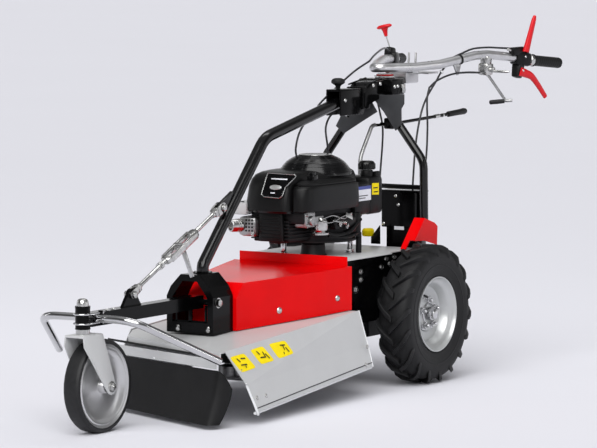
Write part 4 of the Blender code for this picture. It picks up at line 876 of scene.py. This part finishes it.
def engine_parts():
    """Cylinder, carburettor, linkage, hoses, muffler, tank, cap and mounts."""
    paint(CAST, "engine_block")
    fins = []
    for z in (0.448, 0.458, 0.468, 0.478, 0.488, 0.498):
        fins.append(box((-0.08, -0.462, z), (0.05, -0.3, z + 0.0035), 0.0008))
    emit("cylinder_fins", fins, CAST)
    emit("cylinder_head_top", box((-0.084, -0.455, 0.494), (0.094, -0.13, 0.532), 0.004), CAST)
    flange = [turned([(0.118, 0.4365), (0.118, 0.4305), (0.0, 0.4305), (0.0, 0.4365)], CRANK_AXIS,
                     steps=48)]
    flange += [box((-0.02, -0.462, 0.436), (0.02, -0.3, 0.446), 0.003)]
    emit("crankcase_flange", flange, CAST)
    guard = [box((-0.044, -0.476, 0.442), (0.034, -0.462, 0.526), 0.003)]
    guard += [box((-0.036, -0.4785, z), (0.026, -0.475, z + 0.003), 0.0006) for z in (0.452, 0.462, 0.472,
                                                                                      0.482, 0.492, 0.502,
                                                                                      0.512)]
    emit("cylinder_front_guard", guard, PLASTIC)
    emit("carburettor_body", [box((0.06, -0.45, 0.484), (0.1, -0.4, 0.529), 0.004),
         rod((0.1, -0.426, 0.504), (0.11, -0.426, 0.504), 0.014, bevel=0.002),
                              box((0.064, -0.404, 0.488), (0.098, -0.35, 0.514), 0.004),
         *bolt((0.1, -0.444, 0.49), (1, 0, 0), 0.004), *bolt((0.1, -0.444, 0.52), (1, 0, 0), 0.004)],
         STEEL, stands_for=["carburettor"])
    bowl = turned([(0.0, 0.496), (0.0165, 0.496), (0.018, 0.49), (0.0215, 0.486), (0.0225, 0.468),
                   (0.0215, 0.46),
                   (0.015, 0.454), (0.015, 0.45), (0.006, 0.449), (0.0, 0.446)], BOWL_AXIS)
    emit("carburettor_bowl", bowl, ZINC)
    emit("bowl_ring", turned([(0.0255, 0.452), (0.0255, 0.447), (0.0225, 0.446), (0.0225, 0.452)],
                             BOWL_AXIS,
                             closed=True), ZINC)
    links = [wire([(0.108, -0.372, 0.506), (0.116, -0.33, 0.512), (0.12, -0.28, 0.5),
                   (0.118, -0.24, 0.506)], 0.0018),
             wire([(0.108, -0.4, 0.498), (0.122, -0.35, 0.494), (0.124, -0.3, 0.505),
                   (0.122, -0.255, 0.512)], 0.0016),
             bar((0.112, -0.33, 0.5), (0.124, -0.292, 0.492), 0.012, 0.003),
             bar((0.122, -0.27, 0.512), (0.126, -0.24, 0.5), 0.014, 0.003),
             *bolt((0.122, -0.3, 0.486), (1, 0, 0), 0.005), *bolt((0.122, -0.262, 0.478), (1, 0, 0), 0.005),
             *bolt((0.12, -0.245, 0.505), (1, 0, 0), 0.005),
             rod((0.118, -0.262, 0.505), (0.118, -0.238, 0.511), 0.0065, bevel=0.001),
             turned([(0.0062, 0.0), (0.0062, 0.012)], (0.124, -0.285, 0.488), (1, 0.2, 0), 16)]
    emit("throttle_links", links, ZINC)
    hoses = [wire([(0.108, -0.35, 0.462), (0.118, -0.3, 0.455), (0.122, -0.24, 0.462),
                   (0.112, -0.17, 0.49)], 0.005),
             wire([(0.1, -0.33, 0.452), (0.122, -0.26, 0.446), (0.112, -0.19, 0.45)], 0.004),
             box((0.096, -0.318, 0.47), (0.118, -0.27, 0.508), 0.004),
             box((0.088, -0.262, 0.452), (0.114, -0.195, 0.5), 0.006),
             rod((0.1, -0.18, 0.44), (0.1, -0.18, 0.51), 0.015, bevel=0.003)]
    emit("fuel_hoses", hoses, PLASTIC)
    # muffler
    shell = [box((-0.108, -0.49, 0.455), (-0.046, -0.42, 0.512), 0.012)]
    emit("muffler_shell", shell, STEEL, stands_for=["muffler"])
    emit("muffler_shield", box((-0.144, -0.484, 0.516), (-0.082, -0.38, 0.551), 0.006), GREY)
    holes = [rod((x, -0.4898, z), (x, -0.4906, z), 0.003, steps=12) for x in (-0.078, -0.068, -0.058)
             for z in (0.472, 0.482, 0.492, 0.502)]
    emit("muffler_holes", holes, SLOT)
    start, aimed = (-0.1, -0.486, 0.486), (-0.45, -1, 0)
    mouth = [(0.013, 0.034), (0.0165, 0.034), (0.018, 0.031), (0.0185, 0.0), (0.0, 0.0), (0.0, 0.01),
             (0.013, 0.01)]
    pipe = [turned(mouth, start, aimed, 32), *bolt((-0.056, -0.49, 0.464), (0, -1, 0), 0.004)]
    for k in (0.006, 0.012):
        ring = [(0.0196, k), (0.0196, k + 0.0022), (0.018, k + 0.0022), (0.018, k)]
        pipe.append(turned(ring, start, aimed, 32, True))
    emit("muffler_outlet", pipe, ZINC)
    rod_brace = wire([(-0.172, -0.43, 0.556), (-0.14, -0.452, 0.548), (-0.1, -0.47, 0.552)], 0.003)
    emit("hood_brace", rod_brace, CABLE)
    # tank, cap and labels
    emit("tank_shell", [box((-0.012, -0.112, 0.498), (0.106, -0.03, 0.608), 0.012),
                        box((0.046, -0.195, 0.5), (0.109, -0.104, 0.594), 0.012),
         rod((0.072, -0.07, 0.6), (0.072, -0.07, 0.6255), 0.019, bevel=0.002),
                        box((0.086, -0.06, 0.59), (0.1, -0.034, 0.622), 0.003)],
         PLASTIC, stands_for=["fuel_tank"])
    cap = [turned([(0.0, 0.6535), (0.014, 0.6535), (0.0195, 0.652), (0.0235, 0.648), (0.025, 0.643),
                   (0.025, 0.63),
                   (0.0235, 0.628), (0.0, 0.628)], CAP_AXIS, steps=48)]
    for i in range(18):
        a = 2 * math.pi * i / 18
        ray = Vector((math.cos(a), math.sin(a), 0))
        base = Vector(CAP_AXIS)
        cap.append(rod(base + ray * 0.0245 + Vector((0, 0, 0.63)),
                       base + ray * 0.0245 + Vector((0, 0, 0.645)), 0.0018, steps=8))
    emit("fuel_cap_fluted", cap, GLOSSY, "fuel_cap", ["fuel_cap"])
    emit("tank_white_label", plate([(0.1095, -0.192, 0.583), (0.1095, -0.192, 0.542),
                                    (0.1095, -0.108, 0.542), (0.1095, -0.108, 0.583)][::-1],
                                   0.0005, 0.0), WHITE)
    emit("tank_blue_band", plate([(0.11, -0.192, 0.5845), (0.11, -0.192, 0.575), (0.11, -0.108, 0.575),
                                  (0.11, -0.108, 0.5845)][::-1],
                                 0.0004, 0.0), BLUE)
    emit("tank_yellow_label", plate([(0.1065, -0.096, 0.59), (0.1065, -0.096, 0.556),
                                     (0.1065, -0.058, 0.554), (0.1065, -0.058, 0.588)][::-1],
                                    0.0005, 0.0), YELLOW)
    emit("tank_label_marks", [box((0.1069, -0.09, 0.574), (0.1074, -0.066, 0.577), 0),
                              box((0.1069, -0.088, 0.562), (0.1074, -0.064, 0.565), 0),
                              box((0.11, -0.178, 0.556), (0.1104, -0.126, 0.558), 0),
                              box((0.11, -0.178, 0.549), (0.1104, -0.14, 0.551), 0)], INK_AND_GAP_SHADE)
    # stand-offs of the engine
    posts = []
    for x, y in ((-0.046, -0.34), (0.066, -0.155)):
        posts += [rod((x, y, 0.39), (x, y, 0.434), 0.008, bevel=0.001),
                  rod((x, y, 0.39), (x, y, 0.3925), 0.014),
                  hexnut((x, y, 0.3925), (0, 0, 1), 0.012, 0.006)]
    emit("engine_posts", posts, CHROME)
    mounts = [rod((0.096, -0.155, 0.39), (0.096, -0.155, 0.45), 0.0085, bevel=0.001),
              turned([(0.0, 0.432), (0.026, 0.432), (0.034, 0.424), (0.036, 0.4), (0.04, 0.392),
                      (0.0, 0.392)], (0.03, -0.3, 0))]
    emit("engine_mounts", mounts, CAST)
    emit("dipstick_cap", turned([(0.0, 0.437), (0.014, 0.436), (0.0185, 0.43), (0.0185, 0.418),
                                 (0.016, 0.413), (0.0, 0.413)],
                                (-0.024, 0.098, 0)), YELLOW)
    emit("frame_ear", prism([(-0.012, 0.391), (-0.012, 0.4109), (0.019, 0.4484), (0.0195, 0.391)], 0.094,
                            0.098, "Y", 0.001), BLACK)


# ---------------------------------------------------------------- frame, console

def frame_parts():
    """Frame bolts, control box, rear legs and the front arch."""
    paint(BLACK, "chassis_frame", "control_box", "rear_leg_frame", "arch_tube", "console")
    paint(CAST, "axle_gearbox")
    heads = []
    for y, z, r in ((-0.237, 0.3436, 0.0065), (-0.237, 0.3204, 0.0065), (-0.2648, 0.2938, 0.0075),
                    (-0.1219, 0.3484, 0.0065),
                    (-0.075, 0.3532, 0.006), (-0.0456, 0.3537, 0.006), (-0.0957, 0.3697, 0.006),
                    (-0.0497, 0.3717, 0.006),
                    (-0.3, 0.33, 0.004)):
        heads += bolt((0.153, y, z), (1, 0, 0), r, 0.005)
        heads += bolt((-0.153, y, z), (-1, 0, 0), r, 0.005)
    emit("side_plate_bolts", heads, ZINC)
    heads = []
    for x, z in ((0.0543, 0.535), (0.0634, 0.5084), (0.0123, 0.45)):
        heads += [dome((x, 0.1275, z), (0, -1, 0), 0.006, 0.0035)]
    for y, z in ((0.146, 0.5397), (0.152, 0.5091)):
        heads += [dome((0.1402, y, z), (1, 0, 0), 0.006, 0.0035)]
    emit("control_box_bolts", heads, ZINC)
    emit("control_box_plate", plate([(0.05, 0.1276, 0.444), (0.05, 0.1276, 0.434), (0.083, 0.1276, 0.434),
                                     (0.083, 0.1276, 0.444)], 0.0006, 0.0), WHITE)
    emit("control_box_flange", [box((0.128, 0.108, 0.47), (0.132, 0.128, 0.548), 0.001),
                                box((0.004, 0.12, 0.548), (0.14, 0.176, 0.5525), 0.0015)], BLACK)
    belt_case = [box((-0.14, -0.33, 0.196), (0.14, -0.3, 0.23), 0.006)]
    emit("idler_case", belt_case, CAST)
    # leg tubes, smooth
    legs = []
    for s in (1, -1):
        legs.append(tube([(s * 0.175, 0.09, 0.418), (s * 0.172, 0.09, 0.645), (s * 0.038, 0.082, 0.82)],
                         0.0125, 0.07, 20, 10))
    legs.append(rod((-0.17, 0.09, 0.567), (0.17, 0.09, 0.567), 0.0072))
    legs += [box((s * 0.16 - 0.003, 0.066, 0.33), (s * 0.16 + 0.005, 0.118, 0.47), 0.001) for s in (1, -1)]
    emit("leg_tubes", legs, TUBE, stands_for=["rear_leg_frame"])
    emit("leg_foot_bolts", [b for s in (1, -1) for z in (0.44, 0.458) for b in bolt((s * 0.1652, 0.092, z),
                                                                                    (s, 0, 0), 0.006,
                                                                                    0.004)], ZINC)
    emit("arch_pipe", [tube([(0, -0.833, 0.3853), (0, -0.833, 0.405), (0, -0.513, 0.742),
                             (0, -0.122, 0.822)], 0.017, 0.1, 28, 12),
         bar(UPPER + Vector((0, -0.01, -0.005)), UPPER + Vector((0, 0.062, 0.03)), 0.027, 0.0105,
             across=(0, -0.4, 0.9))],
         TUBE, stands_for=["arch_tube"])


def console_parts():
    """Steering console with gussets, index knob and turret."""
    hidden = [box((-0.06, 0.096, 0.836), (0.06, 0.172, 0.885), 0.006),
              prism([(-0.016, 0.806), (0.1, 0.836), (0.1, 0.883), (0.02, 0.874), (-0.016, 0.852)], -0.034,
                    0.034, "X", 0.003),
              box((-0.026, -0.14, 0.786), (-0.02, -0.008, 0.862), 0.002),
              box((0.02, -0.14, 0.786), (0.026, -0.008, 0.862), 0.002),
              box((-0.026, -0.14, 0.857), (0.026, -0.008, 0.863), 0.002),
              rod((0, 0.154, 0.88), (0, 0.154, 0.8868), 0.03, bevel=0.001),
              box((-0.03, -0.02, 0.8), (0.03, 0.02, 0.866), 0.004)]
    emit("console_housing", hidden, BLACK, stands_for=["console"])
    ribs = [bar((x, -0.008, 0.872), (x, 0.09, 0.8875), 0.006, 0.004, across=(1, 0, 0)) for x in (-0.028,
                                                                                                 0.028)]
    emit("console_ribs", ribs, BLACK)
    oval = turned([(0.0, 0.0006), (0.008, 0.0006), (0.009, 0.0), (0.0, 0.0)], (0, 0, 0), (0, 0, 1), 24)
    bmesh.ops.transform(oval, matrix=aim((1, 0, 0), (0.0262, -0.0624, 0.8213)) @ Matrix.Diagonal((0.6, 1.2,
                                                                                                  1, 1)),
                        verts=oval.verts[:])
    emit("console_side_opening", oval, SLOT)
    sheets = [prism([(0.0038, 0.8369), (0.1193, 0.8432), (0.1194, 0.8151), (0.1098, 0.8), (0.1099, 0.7555),
                     (0.0904, 0.7341),
                     (0.0489, 0.7892)], 0.064, 0.068, "Y", 0.001),
              prism([(-0.0972, 0.7787), (-0.0727, 0.7675), (-0.039, 0.8181), (0.0024, 0.825),
                     (0.0264, 0.7885), (-0.03, 0.756),
                     (-0.09, 0.72), (-0.118, 0.742)], 0.0645, 0.0685, "Y", 0.001)]
    emit("console_gussets", sheets, GUSSET_AND_GROOVE_SHADE)
    heads = []
    for spot in ((0.026, -0.1155, 0.8306), (0.0342, 0.0311, 0.8684), (0.0342, 0.0709, 0.8718)):
        heads += [dome(spot, (1, 0, 0), 0.006, 0.004)]
    for spot in ((0.0605, 0.11, 0.862), (0.0605, 0.128, 0.863)):
        heads += [dome(spot, (1, 0, 0), 0.0055, 0.004)]
    heads += bolt((0.056, 0.171, 0.85), (0.3, 1, 0), 0.005)
    heads += [box((0.056, 0.15, 0.842), (0.064, 0.168, 0.868), 0.001)]
    emit("console_bolts", heads, ZINC)
    knob = [turned([(0.0, 0.896), (0.01, 0.8955), (0.017, 0.8925), (0.0205, 0.887), (0.02, 0.8815),
                    (0.015, 0.878),
                    (0.0095, 0.8745), (0.007, 0.87), (0.0062, 0.8625), (0.0, 0.8625)], KNOB_AXIS, steps=40)]
    emit("index_knob_round", knob, GRIP, "index_knob", ["index_knob"])
    stack = [turned([(0.0, 0.8985), (0.022, 0.8985), (0.023, 0.8975), (0.023, 0.893), (0.031, 0.8925),
                     (0.032, 0.8915), (0.032, 0.8876),
                     (0.0, 0.8876)], TURRET_AXIS, steps=48)]
    emit("turret_discs", stack, ZINC, "turret", ["handle_turret"])
    emit("turret_seal", turned([(0.0255, 0.8962), (0.0262, 0.895), (0.0262, 0.8935), (0.025, 0.8925)],
                               TURRET_AXIS), RED, "turret")


# ---------------------------------------------------------------- handlebar

ARM = [Vector((0.03, 0.145, 0.917)), Vector((0.07, 0.215, 0.9165)), Vector((0.1109, 0.2905, 0.9231)),
       Vector((0.1403, 0.3602, 0.9363)), Vector((0.1625, 0.4129, 0.9465)), Vector((0.18, 0.455, 0.948)),
       Vector((0.2029, 0.5086, 0.9423)),
       Vector((0.244, 0.625, 0.926)), Vector((0.279, 0.724, 0.9155))]


LOW_ARM = [Vector((p.x, p.y, 0.917 + (p.z - 0.917) * 0.3)) for p in ARM]


def mirror(p):
    """The same point on the right-hand side."""
    return Vector((-p[0], p[1], p[2]))


def handlebar():
    """Bent tube, clamp block, grips and lever clamps."""
    nose = Vector((0.012, 0.107, 0.917))
    path = [mirror(p) for p in reversed(LOW_ARM)] + [mirror(nose), nose] + ARM
    pieces = [tube(path, 0.0135, 0.045, 24, 6), box((-0.022, 0.212, 0.866), (0.04, 0.288, 0.903), 0.005),
              box((-0.064, 0.212, 0.899), (0.064, 0.25, 0.906), 0.002),
              box((0.02, 0.285, 0.893), (0.075, 0.345, 0.8985), 0.001),
              prism([(0.33, 0.926), (0.386, 0.936), (0.366, 0.888), (0.356, 0.888)], 0.13, 0.135, "X",
                    0.001)]
    emit("handlebar_frame", pieces, SATIN, "handlebar", ["handlebar_tube"])
    studs = [rod((x, 0.284, 0.896), (x, 0.29, 0.957), 0.003, steps=12, bevel=0.0006) for x in (0.004,
                                                                                               0.028)]
    studs += [hexnut((x, 0.286, 0.906), (0, 0, 1), 0.006, 0.005) for x in (0.004, 0.028)]
    emit("handlebar_studs", studs, STEEL, "handlebar")
    under = [bar((0.1795, 0.455, 0.946), (0.177, 0.455, 0.914), 0.03, 0.027, bevel=0.005),
             bar((0.1785, 0.455, 0.922), (0.1755, 0.455, 0.886), 0.04, 0.034, bevel=0.005),
             rod((0.155, 0.455, 0.903), (0.2, 0.455, 0.903), 0.0065),
             hexnut((0.2, 0.455, 0.903), (1, 0, 0), 0.009, 0.006),
             rod((0.186, 0.462, 0.898), (0.252, 0.466, 0.897), 0.0042, bevel=0.001)]
    emit("lever_pivot_block", under, ZINC, "handlebar")
    wire_rod = [wire([(0.131, 0.38, 0.893), (0.145, 0.41, 0.893), (0.172, 0.448, 0.892)], 0.002)]
    emit("pull_rod", wire_rod, ZINC, "handlebar")
    for side, name in ((1, "left"), (-1, "right")):
        first, start, end = (ARM if side > 0 else LOW_ARM)[-3:]
        axis = (end - start).normalized()
        top = (end - start).length + 0.0118
        profile = [(0.0, top), (0.011, top - 0.0005), (0.015, top - 0.004), (0.0165, top - 0.009)]
        count = 11
        for i in range(count):
            z = top - 0.014 - i * 0.0082
            profile += [(0.0165, z), (0.0158, z - 0.002), (0.0158, z - 0.0034), (0.0165, z - 0.0054)]
        profile += [(0.017, 0.006), (0.019, 0.0045), (0.019, 0.0005), (0.0138, 0.0), (0.0, 0.0)]
        made = turned(profile, start, axis, 32)
        emit(f"grip_{name}_sleeve", flip(made) if side < 0 else made, GRIP, "handlebar", [f"grip_{name}"])
        collar = turned([(0.0175, -0.0005), (0.0175, -0.011), (0.016, -0.013), (0.0138, -0.013)], start,
                        axis, 32)
        emit(f"grip_{name}_collar", flip(collar) if side < 0 else collar, ZINC, "handlebar")
        axis = (start - first).normalized()
        middle = first.lerp(start, 0.59)
        body = [bar(middle - axis * 0.026, middle + axis * 0.036, 0.042, 0.038, across=(0, 0, 1),
                    bevel=0.009),
                bar(middle + Vector((-0.004, -0.012, -0.058)), middle + Vector((-0.002, 0, -0.006)), 0.024,
                    0.03, 0.034, (1, 0, 0), 0.005)]
        if side > 0:
            body.append(bar(middle + Vector((-0.004, -0.046, 0.022)),
                            middle + Vector((0.006, 0.014, 0.024)), 0.024, 0.026, 0.022,
                            (1, 0, 0), 0.006))
        else:
            body.append(bar(middle + Vector((0.0, -0.01, 0.008)), middle + Vector((0.002, -0.006, 0.036)),
                            0.03, 0.034, 0.024,
                            (1, 0, 0), 0.006))
        emit(f"clamp_{name}_body", [flip(b) if side < 0 else b for b in body], PLASTIC, "handlebar",
             [f"lever_clamp_{name}"])
        screws = [dome(middle + Vector((0.0205, 0.002, 0.006)), (1, -0.2, 0), 0.004, 0.003),
                  dome(middle + Vector((0.0165, -0.006, -0.036)), (1, -0.2, 0), 0.004, 0.003)]
        if side > 0:
            screws.append(rod(middle + Vector((-0.004, -0.044, 0.026)),
                              middle + Vector((-0.008, -0.06, 0.03)), 0.0042))
        emit(f"clamp_{name}_screws", [flip(b) if side < 0 else b for b in screws], ZINC, "handlebar")


def levers():
    """Red levers, T-knob, parking lever, gear lever and its link."""
    base, tip = Vector((0.247, 0.58, 0.953)), Vector((0.264, 0.604, 1.061))
    side = (tip - base).cross(Vector((1, 0, 0))).normalized()
    rings = []
    for t, w, h in ((0.0, 0.013, 0.0095), (0.12, 0.0128, 0.0092), (0.35, 0.0112, 0.0084),
                    (0.7, 0.0098, 0.0074), (0.93, 0.0088, 0.0066),
                    (1.0, 0.0062, 0.0046)):
        centre = base.lerp(tip, t)
        rings.append([centre + Vector((1, 0, 0)) * (h * math.cos(a)) + side * (w * math.sin(a))
                      for a in (2 * math.pi * k / 16 for k in range(16))])
    top = [loft(rings), dome(tip, tip - base, 0.0055, 0.004)]
    emit("drive_lever_blade", top, RED_LEVER, "drive_lever", ["drive_lever"], 60)
    path = smooth_path([(0.234, 0.562, 0.895), (0.242, 0.594, 0.886), (0.248, 0.618, 0.876),
                        (0.253, 0.648, 0.85),
                        (0.26, 0.682, 0.813)], 6)
    rings = []
    for i, point in enumerate(path):
        t = i / (len(path) - 1)
        ahead = (path[min(i + 1, len(path) - 1)] - path[max(i - 1, 0)]).normalized()
        flat = ahead.cross(Vector((1, 0, 0))).normalized()
        w, h = 0.0145 - 0.006 * t, 0.0088 - 0.003 * t
        rings.append([point + Vector((1, 0, 0)) * (h * math.cos(a)) + flat * (w * math.sin(a))
                      for a in (2 * math.pi * k / 16 for k in range(16))])
    low = [loft(rings), dome(path[-1], path[-1] - path[-2], 0.0048, 0.004)]
    emit("blade_lever_blade", low, RED_LEVER, "blade_lever", ["blade_lever"], 60)
    foot, neck, top = Vector((-0.2295, 0.577, 0.942)), Vector((-0.2475, 0.577, 0.991)), Vector((-0.253,
                                                                                                0.577,
                                                                                                1.015))
    emit("shift_stem", rod(foot, neck.lerp(top, 0.2), 0.0022, steps=16), STEEL, "shift_knob",
         ["shift_knob"])
    axis = (top - neck).normalized()
    knob = [turned([(0.0045, 0.0), (0.0055, 0.003), (0.008, 0.018), (0.012, 0.026), (0.0, 0.03),
                    (0.0, 0.0)], neck, axis, 28)]
    head = turned([(0.0, 0.0065), (0.008, 0.006), (0.0105, 0.002), (0.0105, -0.002), (0.008, -0.0045),
                   (0.0, -0.005)], (0, 0, 0), (0, 0, 1), 32)
    bmesh.ops.transform(head, matrix=aim(axis, top + axis * 0.006) @ Matrix.Diagonal((1.5, 2.5, 1, 1)),
                        verts=head.verts[:])
    emit("shift_head", knob + [head], RED_LEVER, "shift_knob", angle=60)
    foot, knee = Vector((0.181, 0.46, 0.888)), Vector((0.222, 0.5, 0.807))
    across = Vector((0.0, 0.8, 0.4)).normalized() * 0.0035
    arm = [rod(foot + across, knee + across, 0.002, steps=12),
           rod(foot - across, knee - across, 0.002, steps=12),
           rod(foot + Vector((-0.004, 0, 0)), foot + Vector((0.006, 0, 0)), 0.0062),
           rod(knee - Vector((0.004, 0.001, 0)), knee + Vector((0.018, 0.008, 0.001)), 0.005, bevel=0.001)]
    emit("park_lever_arm", arm, STEEL, "park_lever", ["park_lever"])
    grip = turned([(0.0, 0.0), (0.005, 0.001), (0.0068, 0.004), (0.007, 0.03), (0.0064, 0.046),
                   (0.0, 0.048)],
                  (0.181, 0.47, 0.802), Vector((0.047, 0.03, 0.005)), 24)
    emit("park_lever_grip", grip, GRIP, "park_lever")
    paint(BLACK, "gear_lever")
    arm = [tube([(0.03, 0.13, 0.748), (0.03, 0.3, 0.754), (0.03, 0.485, 0.761)], 0.005, 0.05, 16),
           rod((0.018, 0.13, 0.748), (0.044, 0.13, 0.748), 0.014, bevel=0.002),
           rod((0.0, 0.13, 0.748), (0.03, 0.13, 0.748), 0.005),
           bar((0.0, 0.136, 0.746), (0.0, 0.096, 0.746), 0.012, 0.008, across=(1, 0, 0)),
           box((0.02, 0.112, 0.735), (0.046, 0.15, 0.768), 0.005)]
    emit("gear_lever_arm", arm, BLACK, "gear_lever", ["gear_lever"])
    collar = [rod((0.03, 0.4, 0.758), (0.03, 0.425, 0.7588), 0.0062),
              rod((0.03, 0.445, 0.7595), (0.03, 0.452, 0.7597), 0.0062),
              *bolt((0.044, 0.131, 0.755), (1, 0, 0), 0.006)]
    emit("gear_lever_collars", collar, ZINC, "gear_lever")
    handle = turned([(0.0, 0.0), (0.007, 0.001), (0.0088, 0.004), (0.009, 0.07), (0.01, 0.1),
                     (0.0085, 0.108), (0.0, 0.111)],
                    (0.03, 0.48, 0.7608), (0, 0.11, 0.0052), 24)
    emit("gear_lever_grip", handle, GRIP, "gear_lever")
    path = [(0.0, 0.096, 0.747), (0.0, 0.078, 0.744), (0.0, 0.012, 0.655), (0.0, 0.004, 0.42)]
    emit("gear_link_rod", tube(path, 0.0062, 0.07, 16, 10), STEEL, "gear_link", ["gear_link"])


def cables():
    """Control cables; those that leave the handlebar run between it and the turret, and on to the frame, as
    fixed wires.
    """
    uppers = {
        "cable_left_a": [(0.218, 0.552, 0.964), (0.196, 0.506, 0.967), (0.177, 0.462, 0.9695),
                         (0.156, 0.412, 0.9665),
                         (0.14, 0.374, 0.954), (0.124, 0.337, 0.938), (0.113, 0.312, 0.911),
                         (0.104, 0.299, 0.889),
                         (0.1, 0.295, 0.878)],
        "cable_left_b": [(0.17, 0.446, 0.893), (0.15, 0.388, 0.896), (0.132, 0.324, 0.892),
                         (0.12, 0.26, 0.876),
                         (0.112, 0.226, 0.856)],
        "cable_right_a": [(-0.222, 0.556, 0.944), (-0.19, 0.48, 0.958), (-0.14, 0.37, 0.96),
                          (-0.088, 0.24, 0.948),
                          (-0.06, 0.165, 0.934)]}
    lowers = {
        "cable_left_a_low": [(0.1, 0.295, 0.878), (0.1, 0.232, 0.826), (0.1, 0.196, 0.775),
                             (0.1, 0.167, 0.69), (0.1, 0.152, 0.586),
                             (0.1, 0.15, 0.552)],
        "cable_left_b_low": [(0.112, 0.226, 0.856), (0.115, 0.208, 0.82), (0.12, 0.202, 0.734),
                             (0.122, 0.19, 0.642), (0.118, 0.17, 0.552)],
        "cable_right_a_low": [(-0.06, 0.165, 0.934), (-0.05, 0.057, 0.906), (-0.05, -0.057, 0.857),
                              (-0.05, -0.135, 0.82),
                              (-0.035, -0.19, 0.795), (-0.03, -0.228, 0.785), (-0.03, -0.278, 0.745),
                              (-0.032, -0.296, 0.7), (-0.032, -0.292, 0.672)]}
    stand = {"cable_left_a": "cable_left_upper", "cable_right_a": "cable_right_upper",
             "cable_left_a_low": "cable_left_lower", "cable_right_a_low": "cable_right_lower"}
    for group, pair in ((uppers, ("handlebar", "turret")), (lowers, ("turret", "chassis"))):
        for name, points in group.items():
            made = emit(name, wire(points, CABLE_RADIUS, 12), CABLE, None,
                        [stand[name]] if name in stand else ())
            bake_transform(made)
    still = {"cable_box_a": [(-0.03, 0.15, 0.835), (-0.03, 0.175, 0.781), (-0.03, 0.193, 0.717),
                             (-0.03, 0.176, 0.579), (-0.02, 0.15, 0.48)],
             "cable_engine_a": [(-0.024, -0.06, 0.8), (-0.03, -0.106, 0.785), (-0.03, -0.134, 0.75),
                                (-0.03, -0.125, 0.7), (-0.03, -0.115, 0.655)]}
    for name, points in still.items():
        emit(name, wire(points, CABLE_RADIUS, 12), CABLE)
    ties = [turned([(0.0062, -0.003), (0.0062, 0.003), (0.0045, 0.003), (0.0045, -0.003)],
                   (0.1085, 0.3055, 0.9), (0.009, 0.013, 0.022), 16, True)]
    emit("cable_tie_white", ties, TIE, "handlebar")
    band = turned([(0.0158, -0.003), (0.0158, 0.003), (0.014, 0.003), (0.014, -0.003)],
                  (0.1403, 0.3602, 0.9363), ARM[4] - ARM[3], 24, True)
    emit("cable_tie_black", band, GRIP, "handlebar")


# ---------------------------------------------------------------- light, floor and camera

def sky():
    """Soft surroundings: a bright band low down behind the machine, darker above and in front."""
    world = bpy.data.worlds.new("studio")
    world.use_nodes = True
    SCENE.world = world
    nodes, links = world.node_tree.nodes, world.node_tree.links
    place = nodes.new("ShaderNodeTexCoord")
    split = nodes.new("ShaderNodeSeparateXYZ")
    links.new(place.outputs["Generated"], split.inputs["Vector"])
    height = nodes.new("ShaderNodeValToRGB")
    height.color_ramp.elements[0].position = 0.0
    height.color_ramp.elements[0].color = (0.95, 0.95, 0.99, 1)
    height.color_ramp.elements[1].position = 1.0
    height.color_ramp.elements[1].color = (0.55, 0.55, 0.56, 1)
    for position, value in ((0.16, 0.8), (0.34, 0.22), (0.62, 0.12), (0.84, 0.5)):
        height.color_ramp.elements.new(position).color = (value, value, value * 1.02, 1)
    links.new(split.outputs["Z"], height.inputs["Fac"])
    depth = nodes.new("ShaderNodeMapRange")
    depth.inputs["From Min"].default_value = -0.9
    depth.inputs["From Max"].default_value = 0.5
    depth.inputs["To Min"].default_value = 0.3
    depth.inputs["To Max"].default_value = 1.0
    links.new(split.outputs["Y"], depth.inputs["Value"])
    links.new(height.outputs["Color"], nodes["Background"].inputs["Color"])
    links.new(depth.outputs["Result"], nodes["Background"].inputs["Strength"])


def studio():
    """Floor, lamps and camera."""
    data = bpy.data.meshes.new("floor")
    far = 90.0
    data.from_pydata([(-far, -far, 0), (far, -far, 0), (far, far, 0), (-far, far, 0)], [], [(0, 1, 2, 3)])
    floor = bpy.data.objects.new("floor", data)
    SCENE.collection.objects.link(floor)
    data.materials.append(finish("pale_floor", (0.735, 0.735, 0.785), 0.9, shine=0.05, grain=0.6,
                                 vary=0.004, rough_vary=0.02))
    sky()
    sun = bpy.data.lights.new("daylight", "SUN")
    sun.energy = SUN_POWER
    sun.angle = math.radians(SUN_SPREAD)
    lamps = [(sun, SUN_PLACE)]
    for name, energy, wide, tall, place in (("strip_left", 12, 0.25, 3.0, (-4.2, -2.2, 2.2)),
                                            ("strip_right", 11, 0.25, 3.0, (4.4, 0.6, 2.0)),
                                            ("overhead", 11, 2.2, 0.5, (-0.2, 0.8, 3.4))):
        lamp = bpy.data.lights.new(name, "AREA")
        lamp.shape = "RECTANGLE"
        lamp.size, lamp.size_y, lamp.energy = wide, tall, energy
        lamps.append((lamp, place))
    for lamp, place in lamps:
        obj = bpy.data.objects.new(lamp.name, lamp)
        SCENE.collection.objects.link(obj)
        obj.location = place
        obj.rotation_euler = (Vector((0, 0, 0.4)) - Vector(place)).to_track_quat("-Z", "Y").to_euler()
    lens = bpy.data.cameras.new("view")
    lens.sensor_width = 36.0
    lens.lens = FOCAL_LENGTH
    lens.clip_end = 400
    camera = bpy.data.objects.new("view", lens)
    SCENE.collection.objects.link(camera)
    camera.location = CAMERA_PLACE
    camera.rotation_euler = [math.radians(angle) for angle in CAMERA_TURN]
    SCENE.camera = camera
    SCENE.view_settings.view_transform = "Standard"


for side, name in ((1, "left"), (-1, "right")):
    drive_wheel(side, name)
caster()
adjuster()
beam()
guard_trim()
deck_details()
flap()
bracket_and_cover()
engine()
engine_parts()
frame_parts()
console_parts()
handlebar()
levers()
cables()
studio()
